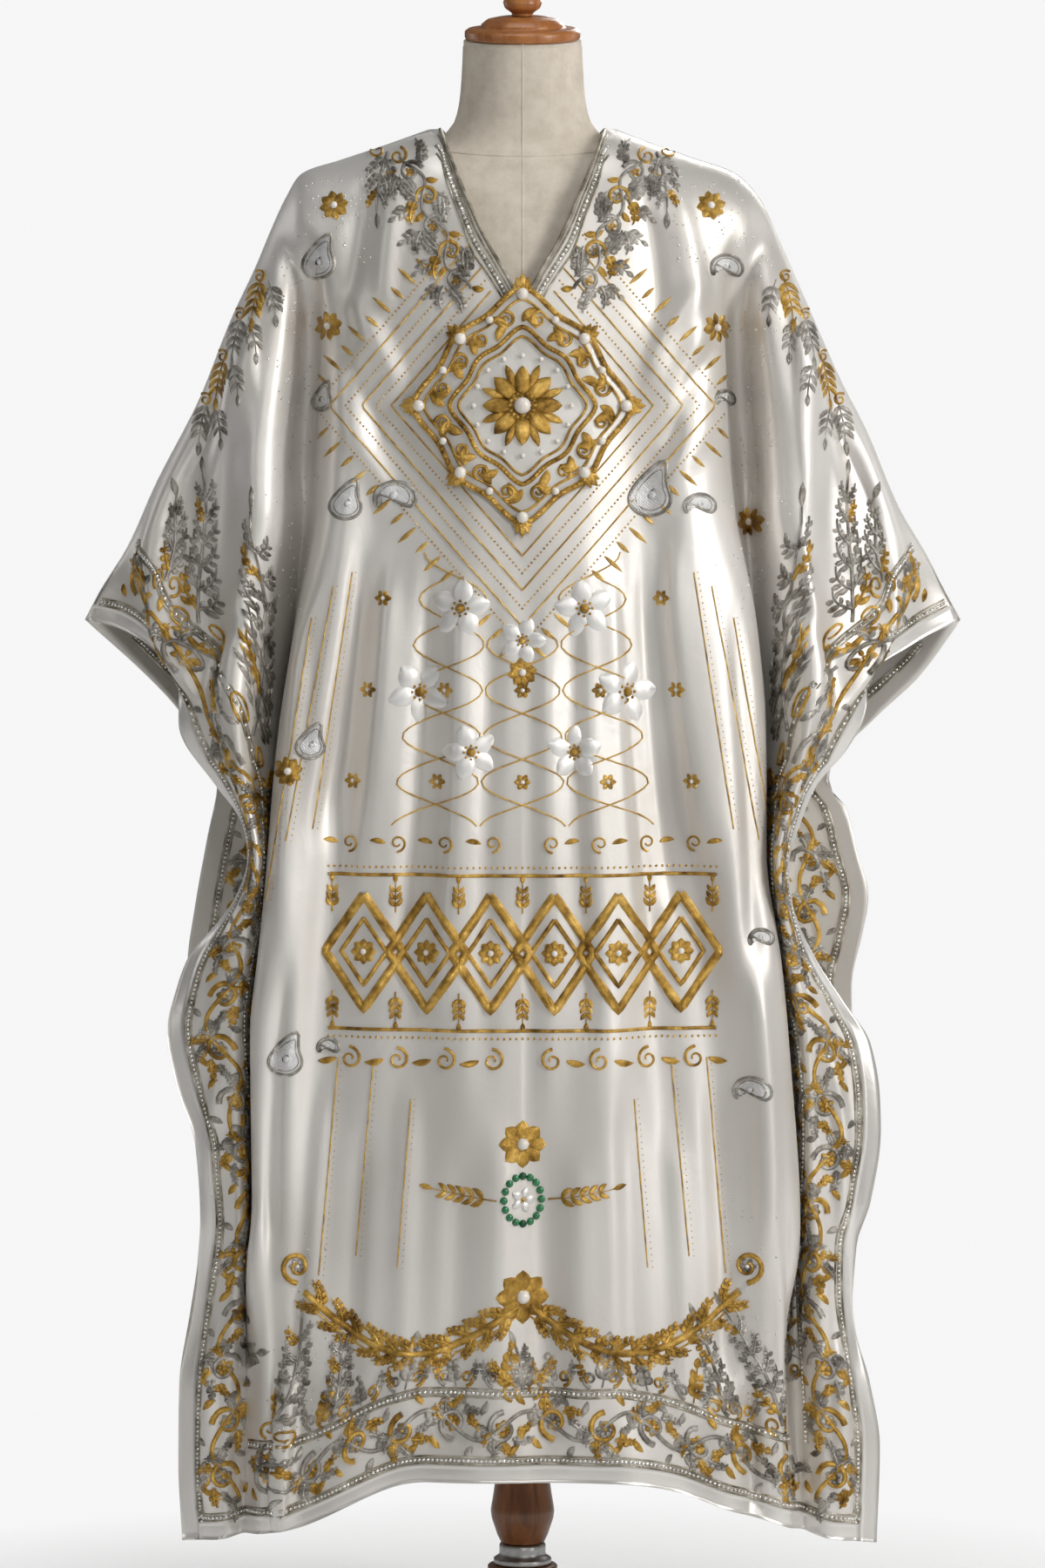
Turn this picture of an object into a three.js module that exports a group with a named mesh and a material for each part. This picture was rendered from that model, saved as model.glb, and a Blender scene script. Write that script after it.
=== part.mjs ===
// Wide embroidered dashiki (kaftan cut) worn on a limbless dress form with a turned wood stand.
// Millimetres, +Z up. The garment's front faces -Y, its right-hand side as seen from the front is +X.
// Origin: middle of the underside of the stand's round base.
import * as THREE from 'three';

// ---------------------------------------------------------------- driving sizes
const WALL = 1.5;              // cloth wall
const SEAM_GAP = 0.3;          // between front and back cloth where they are sewn
const BAND_RISE = 0.4;         // how far the edge band stands proud of the cloth
const BRAID_RISE = 1.2;        // how far braid and neck trim stand proud
const SEAM_INSET = 0.5;       // each piece stops this far short of a seam line
const BAND_WIDTH = 18;         // plain bound edge
const BRAID_WIDTH = 10;        // beaded braid inside the band
const NECK_HALF = 92;          // half width of the neck opening at the shoulder
const NECK_TOP = 1580;         // height of the neck-shoulder points
const V_POINT = 1386;          // foot of the V neck
const BACK_NECK = 1552;        // middle of the back neckline
const ROUND_FRONT = 78;        // drop over which the cloth rounds over the shoulder seam
const ROUND_BACK = 60;
const MEDALLION = { z: 1297, halfWide: 108, halfHigh: 116, lift: 3.2, thick: 3.2 };
const FORM_SIDES = 36, TURN_SIDES = 28;

// thread lines of a panel, centre to free edge: share of the half width (0 centre, 1 sleeve tip and side edge)
const LINES = [
  { name: 'centre', u: 0 }, { name: 'inner', u: 0.07 }, { name: 'crease', u: 0.19 }, { name: 'roll', u: 0.26 },
  { name: 'flank', u: 0.33 }, { name: 'seam', u: 0.37 }, { name: 'ridgeIn', u: 0.42 }, { name: 'ridge', u: 0.48 },
  { name: 'ridgeOut', u: 0.56 }, { name: 'wing', u: 0.78 }, { name: 'edge', u: 1 },
];

// shoulder and sleeve-top line, from neck point to sleeve tip: out (from the middle) and height
const TOP_LINE = {
  left: [
    { out: 92, z: 1580 }, { out: 143, z: 1562 }, { out: 185, z: 1548 }, { out: 225, z: 1534 }, { out: 241, z: 1510 },
    { out: 256, z: 1478 }, { out: 272, z: 1440 }, { out: 297, z: 1387 }, { out: 330, z: 1305 }, { out: 375, z: 1218 },
    { out: 404, z: 1154 }, { out: 434, z: 1106 }, { out: 448, z: 1079 },
  ],
  right: [
    { out: 92, z: 1580 }, { out: 125, z: 1567 }, { out: 170, z: 1551 }, { out: 217, z: 1534 }, { out: 244, z: 1505 },
    { out: 258, z: 1475 }, { out: 292, z: 1398 }, { out: 327, z: 1320 }, { out: 350, z: 1276 }, { out: 385, z: 1194 },
    { out: 412, z: 1148 }, { out: 434, z: 1106 }, { out: 449, z: 1079 },
  ],
};

// hem height on each thread line
const HEM = {
  left: { centre: 214, inner: 214, crease: 160, roll: 155, flank: 152, seam: 149, ridgeIn: 147, ridge: 145, ridgeOut: 143, wing: 141, edge: 140 },
  right: { centre: 214, inner: 213, crease: 176, roll: 166, flank: 158, seam: 153, ridgeIn: 149, ridge: 146, ridgeOut: 143, wing: 140, edge: 138 },
};

// sections of the front panel: how far out (o) and how far forward (f) each thread line lies at a height
const FRONT = {
  left: [
    { z: 1580, oInner: 46, oCrease: 128, oRoll: 176, oFlank: 222, oSeam: 246, oRidgeIn: 262, oRidge: 282, oRidgeOut: 305, oWing: 372, fCentre: 100, fInner: 100, fCrease: 96, fRoll: 88, fFlank: 78, fSeam: 66, fRidgeIn: 60, fRidge: 60, fRidgeOut: 50, fWing: 40 },
    { z: 1510, oInner: 47, oCrease: 132, oRoll: 180, oFlank: 222, oSeam: 244, oRidgeIn: 262, oRidge: 282, oRidgeOut: 305, oWing: 372, fCentre: 112, fInner: 111, fCrease: 98, fRoll: 86, fFlank: 74, fSeam: 66, fRidgeIn: 66, fRidge: 66, fRidgeOut: 55, fWing: 44 },
    { z: 1417, oInner: 48, oCrease: 128, oRoll: 172, oFlank: 202, oSeam: 222, oRidgeIn: 242, oRidge: 270, oRidgeOut: 300, oWing: 372, fCentre: 126, fInner: 124, fCrease: 108, fRoll: 96, fFlank: 72, fSeam: 50, fRidgeIn: 72, fRidge: 84, fRidgeOut: 60, fWing: 48 },
    { z: 1320, oInner: 48, oCrease: 132, oRoll: 176, oFlank: 200, oSeam: 218, oRidgeIn: 242, oRidge: 264, oRidgeOut: 290, oWing: 370, fCentre: 133, fInner: 131, fCrease: 112, fRoll: 106, fFlank: 74, fSeam: 30, fRidgeIn: 76, fRidge: 98, fRidgeOut: 66, fWing: 50 },
    { z: 1215, oInner: 51, oCrease: 141, oRoll: 180, oFlank: 202, oSeam: 220, oRidgeIn: 246, oRidge: 272, oRidgeOut: 298, oWing: 365, fCentre: 137, fInner: 135, fCrease: 112, fRoll: 112, fFlank: 76, fSeam: 13, fRidgeIn: 74, fRidge: 104, fRidgeOut: 66, fWing: 56 },
    { z: 1079, oInner: 55, oCrease: 158, oRoll: 200, oFlank: 227, oSeam: 233, oRidgeIn: 253, oRidge: 278, oRidgeOut: 312, oWing: 378, fCentre: 140, fInner: 138, fCrease: 112, fRoll: 116, fFlank: 78, fSeam: 1.2, fRidgeIn: 66, fRidge: 106, fRidgeOut: 74, fWing: 58 },
    { z: 977, oInner: 57, oCrease: 172, oRoll: 216, oFlank: 246, oSeam: 241, oRidgeIn: 258, oRidge: 284, oRidgeOut: 300, oWing: 320, fCentre: 142, fInner: 140, fCrease: 110, fRoll: 120, fFlank: 80, fSeam: 1.2, fRidgeIn: 60, fRidge: 112, fRidgeOut: 102, fWing: 86 },
    { z: 839, oInner: 63, oCrease: 188, oRoll: 233, oFlank: 257, oSeam: 247, oRidgeIn: 257, oRidge: 262, oRidgeOut: 266, oWing: 272, fCentre: 144, fInner: 142, fCrease: 108, fRoll: 124, fFlank: 84, fSeam: 1.2, fRidgeIn: 52, fRidge: 84, fRidgeOut: 114, fWing: 92 },
    { z: 740, oInner: 69, oCrease: 197, oRoll: 242, oFlank: 268, oSeam: 256, oRidgeIn: 270, oRidge: 279, oRidgeOut: 289, oWing: 311, fCentre: 146, fInner: 144, fCrease: 108, fRoll: 124, fFlank: 84, fSeam: 1.2, fRidgeIn: 54, fRidge: 88, fRidgeOut: 90, fWing: 72 },
    { z: 664, oInner: 73, oCrease: 201, oRoll: 248, oFlank: 276, oSeam: 264, oRidgeIn: 278, oRidge: 289, oRidgeOut: 303, oWing: 330, fCentre: 147, fInner: 145, fCrease: 108, fRoll: 122, fFlank: 84, fSeam: 1.2, fRidgeIn: 48, fRidge: 82, fRidgeOut: 82, fWing: 72 },
    { z: 475, oInner: 84, oCrease: 211, oRoll: 252, oFlank: 274, oSeam: 277, oRidgeIn: 281, oRidge: 286, oRidgeOut: 292, oWing: 309, fCentre: 150, fInner: 148, fCrease: 110, fRoll: 116, fFlank: 94, fSeam: 26, fRidgeIn: 58, fRidge: 80, fRidgeOut: 78, fWing: 72 },
    { z: 300, oInner: 92, oCrease: 224, oRoll: 249, oFlank: 264, oSeam: 276, oRidgeIn: 286, oRidge: 297, oRidgeOut: 310, oWing: 328, fCentre: 154, fInner: 150, fCrease: 114, fRoll: 108, fFlank: 98, fSeam: 54, fRidgeIn: 66, fRidge: 80, fRidgeOut: 76, fWing: 66 },
    { z: 140, oInner: 97, oCrease: 236, oRoll: 255, oFlank: 272, oSeam: 284, oRidgeIn: 294, oRidge: 303, oRidgeOut: 313, oWing: 328, fCentre: 158, fInner: 152, fCrease: 116, fRoll: 106, fFlank: 98, fSeam: 74, fRidgeIn: 76, fRidge: 84, fRidgeOut: 80, fWing: 68 },
  ],
  right: [
    { z: 1580, oInner: 46, oCrease: 128, oRoll: 176, oFlank: 220, oSeam: 246, oRidgeIn: 264, oRidge: 286, oRidgeOut: 312, oWing: 378, fCentre: 100, fInner: 100, fCrease: 96, fRoll: 88, fFlank: 78, fSeam: 66, fRidgeIn: 60, fRidge: 60, fRidgeOut: 50, fWing: 40 },
    { z: 1510, oInner: 47, oCrease: 132, oRoll: 180, oFlank: 220, oSeam: 243, oRidgeIn: 262, oRidge: 284, oRidgeOut: 310, oWing: 378, fCentre: 112, fInner: 111, fCrease: 98, fRoll: 86, fFlank: 74, fSeam: 66, fRidgeIn: 68, fRidge: 68, fRidgeOut: 56, fWing: 44 },
    { z: 1417, oInner: 48, oCrease: 124, oRoll: 168, oFlank: 204, oSeam: 224, oRidgeIn: 246, oRidge: 275, oRidgeOut: 303, oWing: 376, fCentre: 126, fInner: 124, fCrease: 109, fRoll: 98, fFlank: 74, fSeam: 52, fRidgeIn: 74, fRidge: 88, fRidgeOut: 62, fWing: 48 },
    { z: 1320, oInner: 48, oCrease: 124, oRoll: 166, oFlank: 202, oSeam: 222, oRidgeIn: 250, oRidge: 276, oRidgeOut: 300, oWing: 372, fCentre: 133, fInner: 131, fCrease: 113, fRoll: 110, fFlank: 76, fSeam: 32, fRidgeIn: 80, fRidge: 102, fRidgeOut: 66, fWing: 52 },
    { z: 1215, oInner: 51, oCrease: 130, oRoll: 170, oFlank: 208, oSeam: 226, oRidgeIn: 254, oRidge: 282, oRidgeOut: 306, oWing: 366, fCentre: 137, fInner: 135, fCrease: 112, fRoll: 118, fFlank: 78, fSeam: 13, fRidgeIn: 76, fRidge: 106, fRidgeOut: 68, fWing: 58 },
    { z: 1079, oInner: 55, oCrease: 140, oRoll: 182, oFlank: 236, oSeam: 236, oRidgeIn: 258, oRidge: 286, oRidgeOut: 318, oWing: 380, fCentre: 140, fInner: 138, fCrease: 110, fRoll: 122, fFlank: 80, fSeam: 1.2, fRidgeIn: 66, fRidge: 106, fRidgeOut: 76, fWing: 60 },
    { z: 977, oInner: 57, oCrease: 150, oRoll: 194, oFlank: 246, oSeam: 240, oRidgeIn: 258, oRidge: 282, oRidgeOut: 298, oWing: 318, fCentre: 142, fInner: 140, fCrease: 108, fRoll: 126, fFlank: 82, fSeam: 1.2, fRidgeIn: 60, fRidge: 112, fRidgeOut: 102, fWing: 86 },
    { z: 839, oInner: 63, oCrease: 166, oRoll: 212, oFlank: 248, oSeam: 238, oRidgeIn: 248, oRidge: 252, oRidgeOut: 256, oWing: 262, fCentre: 144, fInner: 142, fCrease: 106, fRoll: 128, fFlank: 86, fSeam: 1.2, fRidgeIn: 52, fRidge: 86, fRidgeOut: 116, fWing: 94 },
    { z: 740, oInner: 69, oCrease: 178, oRoll: 226, oFlank: 262, oSeam: 250, oRidgeIn: 262, oRidge: 268, oRidgeOut: 274, oWing: 282, fCentre: 146, fInner: 144, fCrease: 106, fRoll: 128, fFlank: 86, fSeam: 1.2, fRidgeIn: 54, fRidge: 90, fRidgeOut: 96, fWing: 78 },
    { z: 664, oInner: 73, oCrease: 188, oRoll: 238, oFlank: 270, oSeam: 258, oRidgeIn: 272, oRidge: 283, oRidgeOut: 296, oWing: 318, fCentre: 147, fInner: 145, fCrease: 106, fRoll: 126, fFlank: 86, fSeam: 1.2, fRidgeIn: 48, fRidge: 86, fRidgeOut: 86, fWing: 74 },
    { z: 475, oInner: 84, oCrease: 206, oRoll: 252, oFlank: 282, oSeam: 280, oRidgeIn: 286, oRidge: 294, oRidgeOut: 304, oWing: 324, fCentre: 150, fInner: 148, fCrease: 110, fRoll: 120, fFlank: 94, fSeam: 26, fRidgeIn: 58, fRidge: 82, fRidgeOut: 80, fWing: 74 },
    { z: 300, oInner: 92, oCrease: 216, oRoll: 250, oFlank: 270, oSeam: 278, oRidgeIn: 290, oRidge: 303, oRidgeOut: 317, oWing: 336, fCentre: 154, fInner: 150, fCrease: 114, fRoll: 112, fFlank: 98, fSeam: 54, fRidgeIn: 66, fRidge: 80, fRidgeOut: 78, fWing: 68 },
    { z: 140, oInner: 97, oCrease: 226, oRoll: 254, oFlank: 274, oSeam: 286, oRidgeIn: 297, oRidge: 308, oRidgeOut: 322, oWing: 340, fCentre: 158, fInner: 152, fCrease: 118, fRoll: 108, fFlank: 98, fSeam: 74, fRidgeIn: 76, fRidge: 84, fRidgeOut: 82, fWing: 70 },
  ],
};

// free side edge of each panel, sleeve tip to hem corner: height, out, away (forward on the front, backward on the back)
const EDGE = {
  frontLeft: [
    { z: 1079, out: 448, away: 2 }, { z: 1071, out: 414, away: 20 }, { z: 1047, out: 373, away: 40 }, { z: 1011, out: 349, away: 56 },
    { z: 976, out: 349, away: 64 }, { z: 911, out: 311, away: 62 }, { z: 873, out: 284, away: 56 }, { z: 839, out: 279, away: 50 },
    { z: 803, out: 290, away: 46 }, { z: 770, out: 311, away: 46 }, { z: 736, out: 341, away: 50 }, { z: 705, out: 353, away: 54 },
    { z: 664, out: 362, away: 60 }, { z: 600, out: 350, away: 68 }, { z: 552, out: 334, away: 72 }, { z: 475, out: 328, away: 72 },
    { z: 422, out: 333, away: 68 }, { z: 372, out: 341, away: 62 }, { z: 299, out: 351, away: 60 }, { z: 221, out: 352, away: 62 }, { z: 140, out: 348, away: 66 },
  ],
  frontRight: [
    { z: 1079, out: 449, away: 2 }, { z: 1056, out: 400, away: 28 }, { z: 1019, out: 350, away: 54 }, { z: 990, out: 348, away: 62 },
    { z: 946, out: 327, away: 66 }, { z: 911, out: 297, away: 66 }, { z: 873, out: 281, away: 58 }, { z: 831, out: 270, away: 52 },
    { z: 792, out: 274, away: 48 }, { z: 736, out: 297, away: 50 }, { z: 689, out: 328, away: 54 }, { z: 651, out: 354, away: 58 },
    { z: 594, out: 364, away: 64 }, { z: 561, out: 365, away: 68 }, { z: 491, out: 355, away: 74 }, { z: 444, out: 342, away: 70 },
    { z: 391, out: 341, away: 64 }, { z: 345, out: 346, away: 60 }, { z: 299, out: 355, away: 60 }, { z: 237, out: 365, away: 64 }, { z: 138, out: 362, away: 68 },
  ],
  backLeft: [
    { z: 1079, out: 448, away: 2 }, { z: 1033, out: 400, away: 34 }, { z: 979, out: 352, away: 56 }, { z: 914, out: 316, away: 66 },
    { z: 852, out: 327, away: 62 }, { z: 778, out: 340, away: 56 }, { z: 720, out: 348, away: 60 }, { z: 640, out: 340, away: 72 },
    { z: 550, out: 322, away: 84 }, { z: 460, out: 318, away: 84 }, { z: 360, out: 330, away: 74 }, { z: 250, out: 342, away: 70 }, { z: 146, out: 340, away: 78 },
  ],
  backRight: [
    { z: 1079, out: 449, away: 2 }, { z: 1019, out: 408, away: 34 }, { z: 976, out: 365, away: 56 }, { z: 932, out: 323, away: 66 },
    { z: 911, out: 314, away: 68 }, { z: 883, out: 336, away: 64 }, { z: 834, out: 348, away: 58 }, { z: 792, out: 359, away: 54 },
    { z: 749, out: 352, away: 56 }, { z: 700, out: 342, away: 62 }, { z: 600, out: 346, away: 76 }, { z: 500, out: 340, away: 84 },
    { z: 400, out: 330, away: 76 }, { z: 290, out: 344, away: 70 }, { z: 144, out: 350, away: 78 },
  ],
};

// soft folds laid over the sections: side (-1 left, 1 right), thread line u at the top and at the foot,
// half width in u, rise (+ ridge, - trough) in mm, and the heights where it fades in and out
const FRONT_FOLDS = [
  { side: -1, uTop: 0.055, uFoot: 0.045, half: 0.022, rise: 5.0, zTop: 1080, zFoot: 200 },
  { side: -1, uTop: 0.100, uFoot: 0.095, half: 0.026, rise: -7.0, zTop: 1190, zFoot: 160 },
  { side: -1, uTop: 0.140, uFoot: 0.140, half: 0.030, rise: 8.0, zTop: 1250, zFoot: 160 },
  { side: -1, uTop: 0.225, uFoot: 0.225, half: 0.020, rise: 4.0, zTop: 1150, zFoot: 400 },
  { side: 1, uTop: 0.035, uFoot: 0.030, half: 0.022, rise: -5.0, zTop: 1000, zFoot: 180 },
  { side: 1, uTop: 0.085, uFoot: 0.080, half: 0.024, rise: 7.0, zTop: 1160, zFoot: 170 },
  { side: 1, uTop: 0.125, uFoot: 0.130, half: 0.024, rise: -8.0, zTop: 1230, zFoot: 150 },
  { side: 1, uTop: 0.160, uFoot: 0.165, half: 0.024, rise: 6.0, zTop: 1230, zFoot: 260 },
];
const BACK_FOLDS = [
  { side: -1, uTop: 0.030, uFoot: 0.040, half: 0.028, rise: -9.0, zTop: 1350, zFoot: 150 },
  { side: -1, uTop: 0.090, uFoot: 0.095, half: 0.030, rise: 10.0, zTop: 1330, zFoot: 150 },
  { side: -1, uTop: 0.150, uFoot: 0.145, half: 0.024, rise: -8.0, zTop: 1280, zFoot: 150 },
  { side: 1, uTop: 0.050, uFoot: 0.045, half: 0.030, rise: 8.0, zTop: 1310, zFoot: 150 },
  { side: 1, uTop: 0.115, uFoot: 0.115, half: 0.028, rise: -10.0, zTop: 1340, zFoot: 150 },
  { side: 1, uTop: 0.165, uFoot: 0.160, half: 0.024, rise: 7.0, zTop: 1240, zFoot: 200 },
];
const BACK_SHRINK = 0.93;      // the back hangs a little flatter than the front

// ---------------------------------------------------------------- smooth interpolation
function hermite(x0, x1, y0, y1, m0, m1, x) {
  const h = x1 - x0, t = (x - x0) / h, a = 1 - t;
  return (1 + 2 * t) * a * a * y0 + t * a * a * h * m0 + t * t * (3 - 2 * t) * y1 - t * t * a * h * m1;
}
// shape-keeping slope at an inner knot
function slope(d0, d1, h0, h1) {
  if (d0 * d1 <= 0) return 0;
  const w0 = 2 * h1 + h0, w1 = h1 + 2 * h0;
  return (w0 + w1) / (w0 / d0 + w1 / d1);
}
function smooth(xs, ys, x) {
  const n = xs.length;
  if (x <= xs[0]) return ys[0];
  if (x >= xs[n - 1]) return ys[n - 1];
  let i = 0;
  while (x > xs[i + 1]) i++;
  const d = (k) => (ys[k + 1] - ys[k]) / (xs[k + 1] - xs[k]);
  const h = (k) => xs[k + 1] - xs[k];
  const m = (k) => (k === 0 ? d(0) : k === n - 1 ? d(n - 2) : slope(d(k - 1), d(k), h(k - 1), h(k)));
  return hermite(xs[i], xs[i + 1], ys[i], ys[i + 1], m(i), m(i + 1), x);
}
// rounder curve through the thread lines, used across a section
function round(xs, ys, x) {
  const n = xs.length;
  if (x <= xs[0]) return ys[0];
  if (x >= xs[n - 1]) return ys[n - 1];
  let i = 0;
  while (x > xs[i + 1]) i++;
  const m = (k) => {
    if (k === 0) return 0;
    if (k === n - 1) return (ys[k] - ys[k - 1]) / (xs[k] - xs[k - 1]);
    const h0 = xs[k] - xs[k - 1], h1 = xs[k + 1] - xs[k];
    const d0 = (ys[k] - ys[k - 1]) / h0, d1 = (ys[k + 1] - ys[k]) / h1;
    return (d0 * h1 + d1 * h0) / (h0 + h1);
  };
  return hermite(xs[i], xs[i + 1], ys[i], ys[i + 1], m(i), m(i + 1), x);
}
const cap = (s) => s.charAt(0).toUpperCase() + s.slice(1);
const U = LINES.map((l) => l.u);

// shoulder line point at share u, by its own length
function topLine(side, u) {
  const rows = TOP_LINE[side];
  const along = [0];
  for (let i = 1; i < rows.length; i++) along.push(along[i - 1] + Math.hypot(rows[i].out - rows[i - 1].out, rows[i].z - rows[i - 1].z));
  const total = along[along.length - 1], uNeck = NECK_HALF / (NECK_HALF + total);
  const s = Math.max(0, (u - uNeck) / (1 - uNeck)) * total;
  return { out: smooth(along, rows.map((r) => r.out), s), z: smooth(along, rows.map((r) => r.z), s), uNeck };
}

function column(rows, key, z) {
  const up = rows.slice().reverse();
  return smooth(up.map((r) => r.z), up.map((r) => r[key]), z);
}

// one point of a panel: side -1 or 1, share u, height z, and the height zEdge at which its row meets the free edge.
// Gives [x, y, z]; front is -y.
function panelPoint(isFront, side, u, z, zEdge) {
  const name = side < 0 ? 'left' : 'right';
  const rows = FRONT[name];
  const edge = EDGE[(isFront ? 'front' : 'back') + cap(name)];
  const outs = [0], aways = [column(rows, 'fCentre', z)];
  for (const l of LINES.slice(1, -1)) {
    outs.push(column(rows, 'o' + cap(l.name), z));
    aways.push(column(rows, 'f' + cap(l.name), z));
  }
  outs.push(column(edge, 'out', zEdge));
  aways.push(column(edge, 'away', zEdge));
  if (!isFront) for (let i = 0; i < aways.length - 1; i++) aways[i] = Math.max(1.2, aways[i] * BACK_SHRINK);
  let out = round(U, outs, u), away = round(U, aways, u);
  for (const f of isFront ? FRONT_FOLDS : BACK_FOLDS) {
    if (f.side !== side) continue;
    const k = Math.min(1, Math.max(0, (f.zTop - z) / (f.zTop - f.zFoot)));
    const uMid = f.uTop + (f.uFoot - f.uTop) * k;
    const w = (u - uMid) / f.half, fade = Math.min(1, k * 4);
    away += f.rise * fade * Math.exp(-w * w);
  }
  const top = topLine(name, u);
  const drop = Math.max(0, (u <= top.uNeck ? NECK_TOP : top.z) - z);
  const span = isFront ? ROUND_FRONT : ROUND_BACK;
  const k = Math.min(1, drop / span);
  const turn = Math.sqrt(Math.max(0, 1 - (1 - k) * (1 - k)));
  away = SEAM_GAP / 2 + Math.max(SEAM_GAP / 2, away - SEAM_GAP / 2) * turn;
  if (u > top.uNeck) {
    // the top line is met exactly; its pull fades down the cloth
    const rowAtTop = round(U, LINES.map((l, i) => (i === 0 ? 0 : i === LINES.length - 1 ? column(edge, 'out', top.z) : column(rows, 'o' + cap(l.name), top.z))), u);
    const q = Math.min(1, drop / 150), fade = 1 - q * q * (3 - 2 * q);
    out += (top.out - rowAtTop) * fade;
  }
  return [side * out, (isFront ? -1 : 1) * away, z];
}

// top of each thread: neckline inside the neck points, shoulder and sleeve line outside them
function threadTop(isFront, side, u) {
  const top = topLine(side < 0 ? 'left' : 'right', u);
  if (u >= top.uNeck) return top.z;
  const k = u / top.uNeck;
  if (isFront) return V_POINT + (NECK_TOP - V_POINT) * (0.06 * k * k + 0.94 * Math.pow(k, 1.08));
  return BACK_NECK + (NECK_TOP - BACK_NECK) * Math.pow(k, 2.4);
}
function threadFoot(isFront, side, u) {
  const row = HEM[side < 0 ? 'left' : 'right'];
  const z = smooth(U, LINES.map((l) => row[l.name]), u);
  return isFront ? z : z + 6 * (1 - u);
}

// ---------------------------------------------------------------- panel grid
// columns of one half, centre outwards; past the last of these they are set by distance from the free edge
const HALF_COLUMNS = [0, 0.045, 0.085, 0.11, 0.124, 0.155, 0.19, 0.225, 0.26, 0.30, 0.33, 0.35, 0.37, 0.393, 0.42, 0.48, 0.56];
const OUTER_PARTS = 3;         // columns between the last fixed one and the braid
const LEVEL = 940;             // below this height the rows run level
// rows of the sleeve and yoke (first table) and of the skirt (second table), as shares
const ROWS_HIGH = [0, 0.10, 0.21, 0.32, 0.43, 0.545, 0.66, 0.775, 0.89, 1];
const ROWS_LOW = [0.09, 0.18, 0.27, 0.36, 0.455, 0.56, 0.67, 0.78, 0.89, 1];

function edgeRows(isFront, side) {
  const rows = EDGE[(isFront ? 'front' : 'back') + (side < 0 ? 'Left' : 'Right')];
  return rows;
}
// height on the free edge after a given length along it, as a share of the length down to LEVEL
function edgeHeight(isFront, side, share) {
  const rows = edgeRows(isFront, side), zs = [], along = [];
  for (let z = rows[0].z, k = 0; z > LEVEL; z -= 3, k++) {
    zs.push(z);
    const o = column(rows, 'out', z), a = column(rows, 'away', z);
    along.push(k === 0 ? 0 : along[k - 1] + Math.hypot(o - column(rows, 'out', zs[k - 1]), a - column(rows, 'away', zs[k - 1]), 3));
  }
  return smooth(along, zs, share * along[along.length - 1]);
}

function rowHeights(isFront, side, u) {
  const top = threadTop(isFront, side, u), foot = threadFoot(isFront, side, u);
  const uNeck = topLine(side < 0 ? 'left' : 'right', u).uNeck;
  const k = Math.max(0, Math.min(1, (uNeck + 0.03 - u) / 0.06));
  const trim = isFront ? 10 + 36 * k : 10 + 12 * k;          // depth of the first row: the neck trim, or the round of the shoulder
  const second = isFront ? 28 + 34 * k : 28 + 8 * k;
  const start = top - second;
  const zs = [top, top - trim];
  for (const r of ROWS_HIGH) zs.push(start + (LEVEL - start) * r);
  const near = Math.max(0, (u - 0.56) / 0.44), w = near * near;
  if (w > 0) for (let i = 1; i < zs.length; i++) {
    const formula = (i === 1 ? 1069 : 1051 + (LEVEL - 1051) * ROWS_HIGH[i - 2]);
    zs[i] += (edgeHeight(isFront, side, i / (zs.length - 1)) - formula) * w;
  }
  const last = foot + BAND_WIDTH + BRAID_WIDTH;
  for (const r of ROWS_LOW) zs.push(LEVEL + (last - LEVEL) * r);
  zs.push(foot + BAND_WIDTH, foot);
  return zs;
}

function panelGrid(isFront) {
  const P = [];
  const nRows = ROWS_HIGH.length + ROWS_LOW.length + 4;
  const halves = [];
  for (const side of [-1, 1]) {
    const half = [];
    for (let i = 0; i < nRows; i++) {
      const zEdge = rowHeights(isFront, side, 1)[i];
      const at = (u) => panelPoint(isFront, side, u, rowHeights(isFront, side, u)[i], zEdge);
      const line = HALF_COLUMNS.map(at);
      // walk in from the edge to find where the band and the braid end
      const last = HALF_COLUMNS[HALF_COLUMNS.length - 1], steps = 48, us = [], ps = [], reach = [0];
      for (let k = 0; k <= steps; k++) {
        us.push(1 - (1 - last) * k / steps);
        ps.push(at(us[k]));
        if (k) reach.push(reach[k - 1] + Math.hypot(ps[k][0] - ps[k - 1][0], ps[k][1] - ps[k - 1][1], ps[k][2] - ps[k - 1][2]));
      }
      const pointAt = (d) => {
        for (let k = 1; k <= steps; k++) if (reach[k] >= d) return at(us[k - 1] + (us[k] - us[k - 1]) * (d - reach[k - 1]) / (reach[k] - reach[k - 1]));
        return ps[steps];
      };
      const total = reach[steps], trims = Math.min(BAND_WIDTH + BRAID_WIDTH, total * 0.8);
      for (let k = 1; k < OUTER_PARTS; k++) line.push(pointAt(total - (total - trims) * k / OUTER_PARTS));
      line.push(pointAt(trims), pointAt(trims * BAND_WIDTH / (BAND_WIDTH + BRAID_WIDTH)), at(1));
      half.push(line);
    }
    halves.push(half);
  }
  for (let i = 0; i < nRows; i++) P.push([...halves[0][i].slice(1).reverse(), ...halves[1][i]].map((p) => new THREE.Vector3(...p)));
  // outward normals: mean of the facets round each point
  const cols = P[0].length;
  const N = P.map((row) => row.map(() => new THREE.Vector3()));
  for (let i = 0; i < nRows - 1; i++) for (let j = 0; j < cols - 1; j++) {
    for (const t of [[[i, j], [i + 1, j], [i + 1, j + 1]], [[i, j], [i + 1, j + 1], [i, j + 1]]]) {
      const [a, b, c] = t.map(([p, q]) => P[p][q]);
      const n = b.clone().sub(a).cross(c.clone().sub(a)).normalize();
      for (const [p, q] of t) N[p][q].add(n);
    }
  }
  for (const row of N) for (const n of row) { n.normalize(); if (!isFront) n.negate(); }
  return { P, N, isFront, rows: nRows, cols };
}

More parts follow.
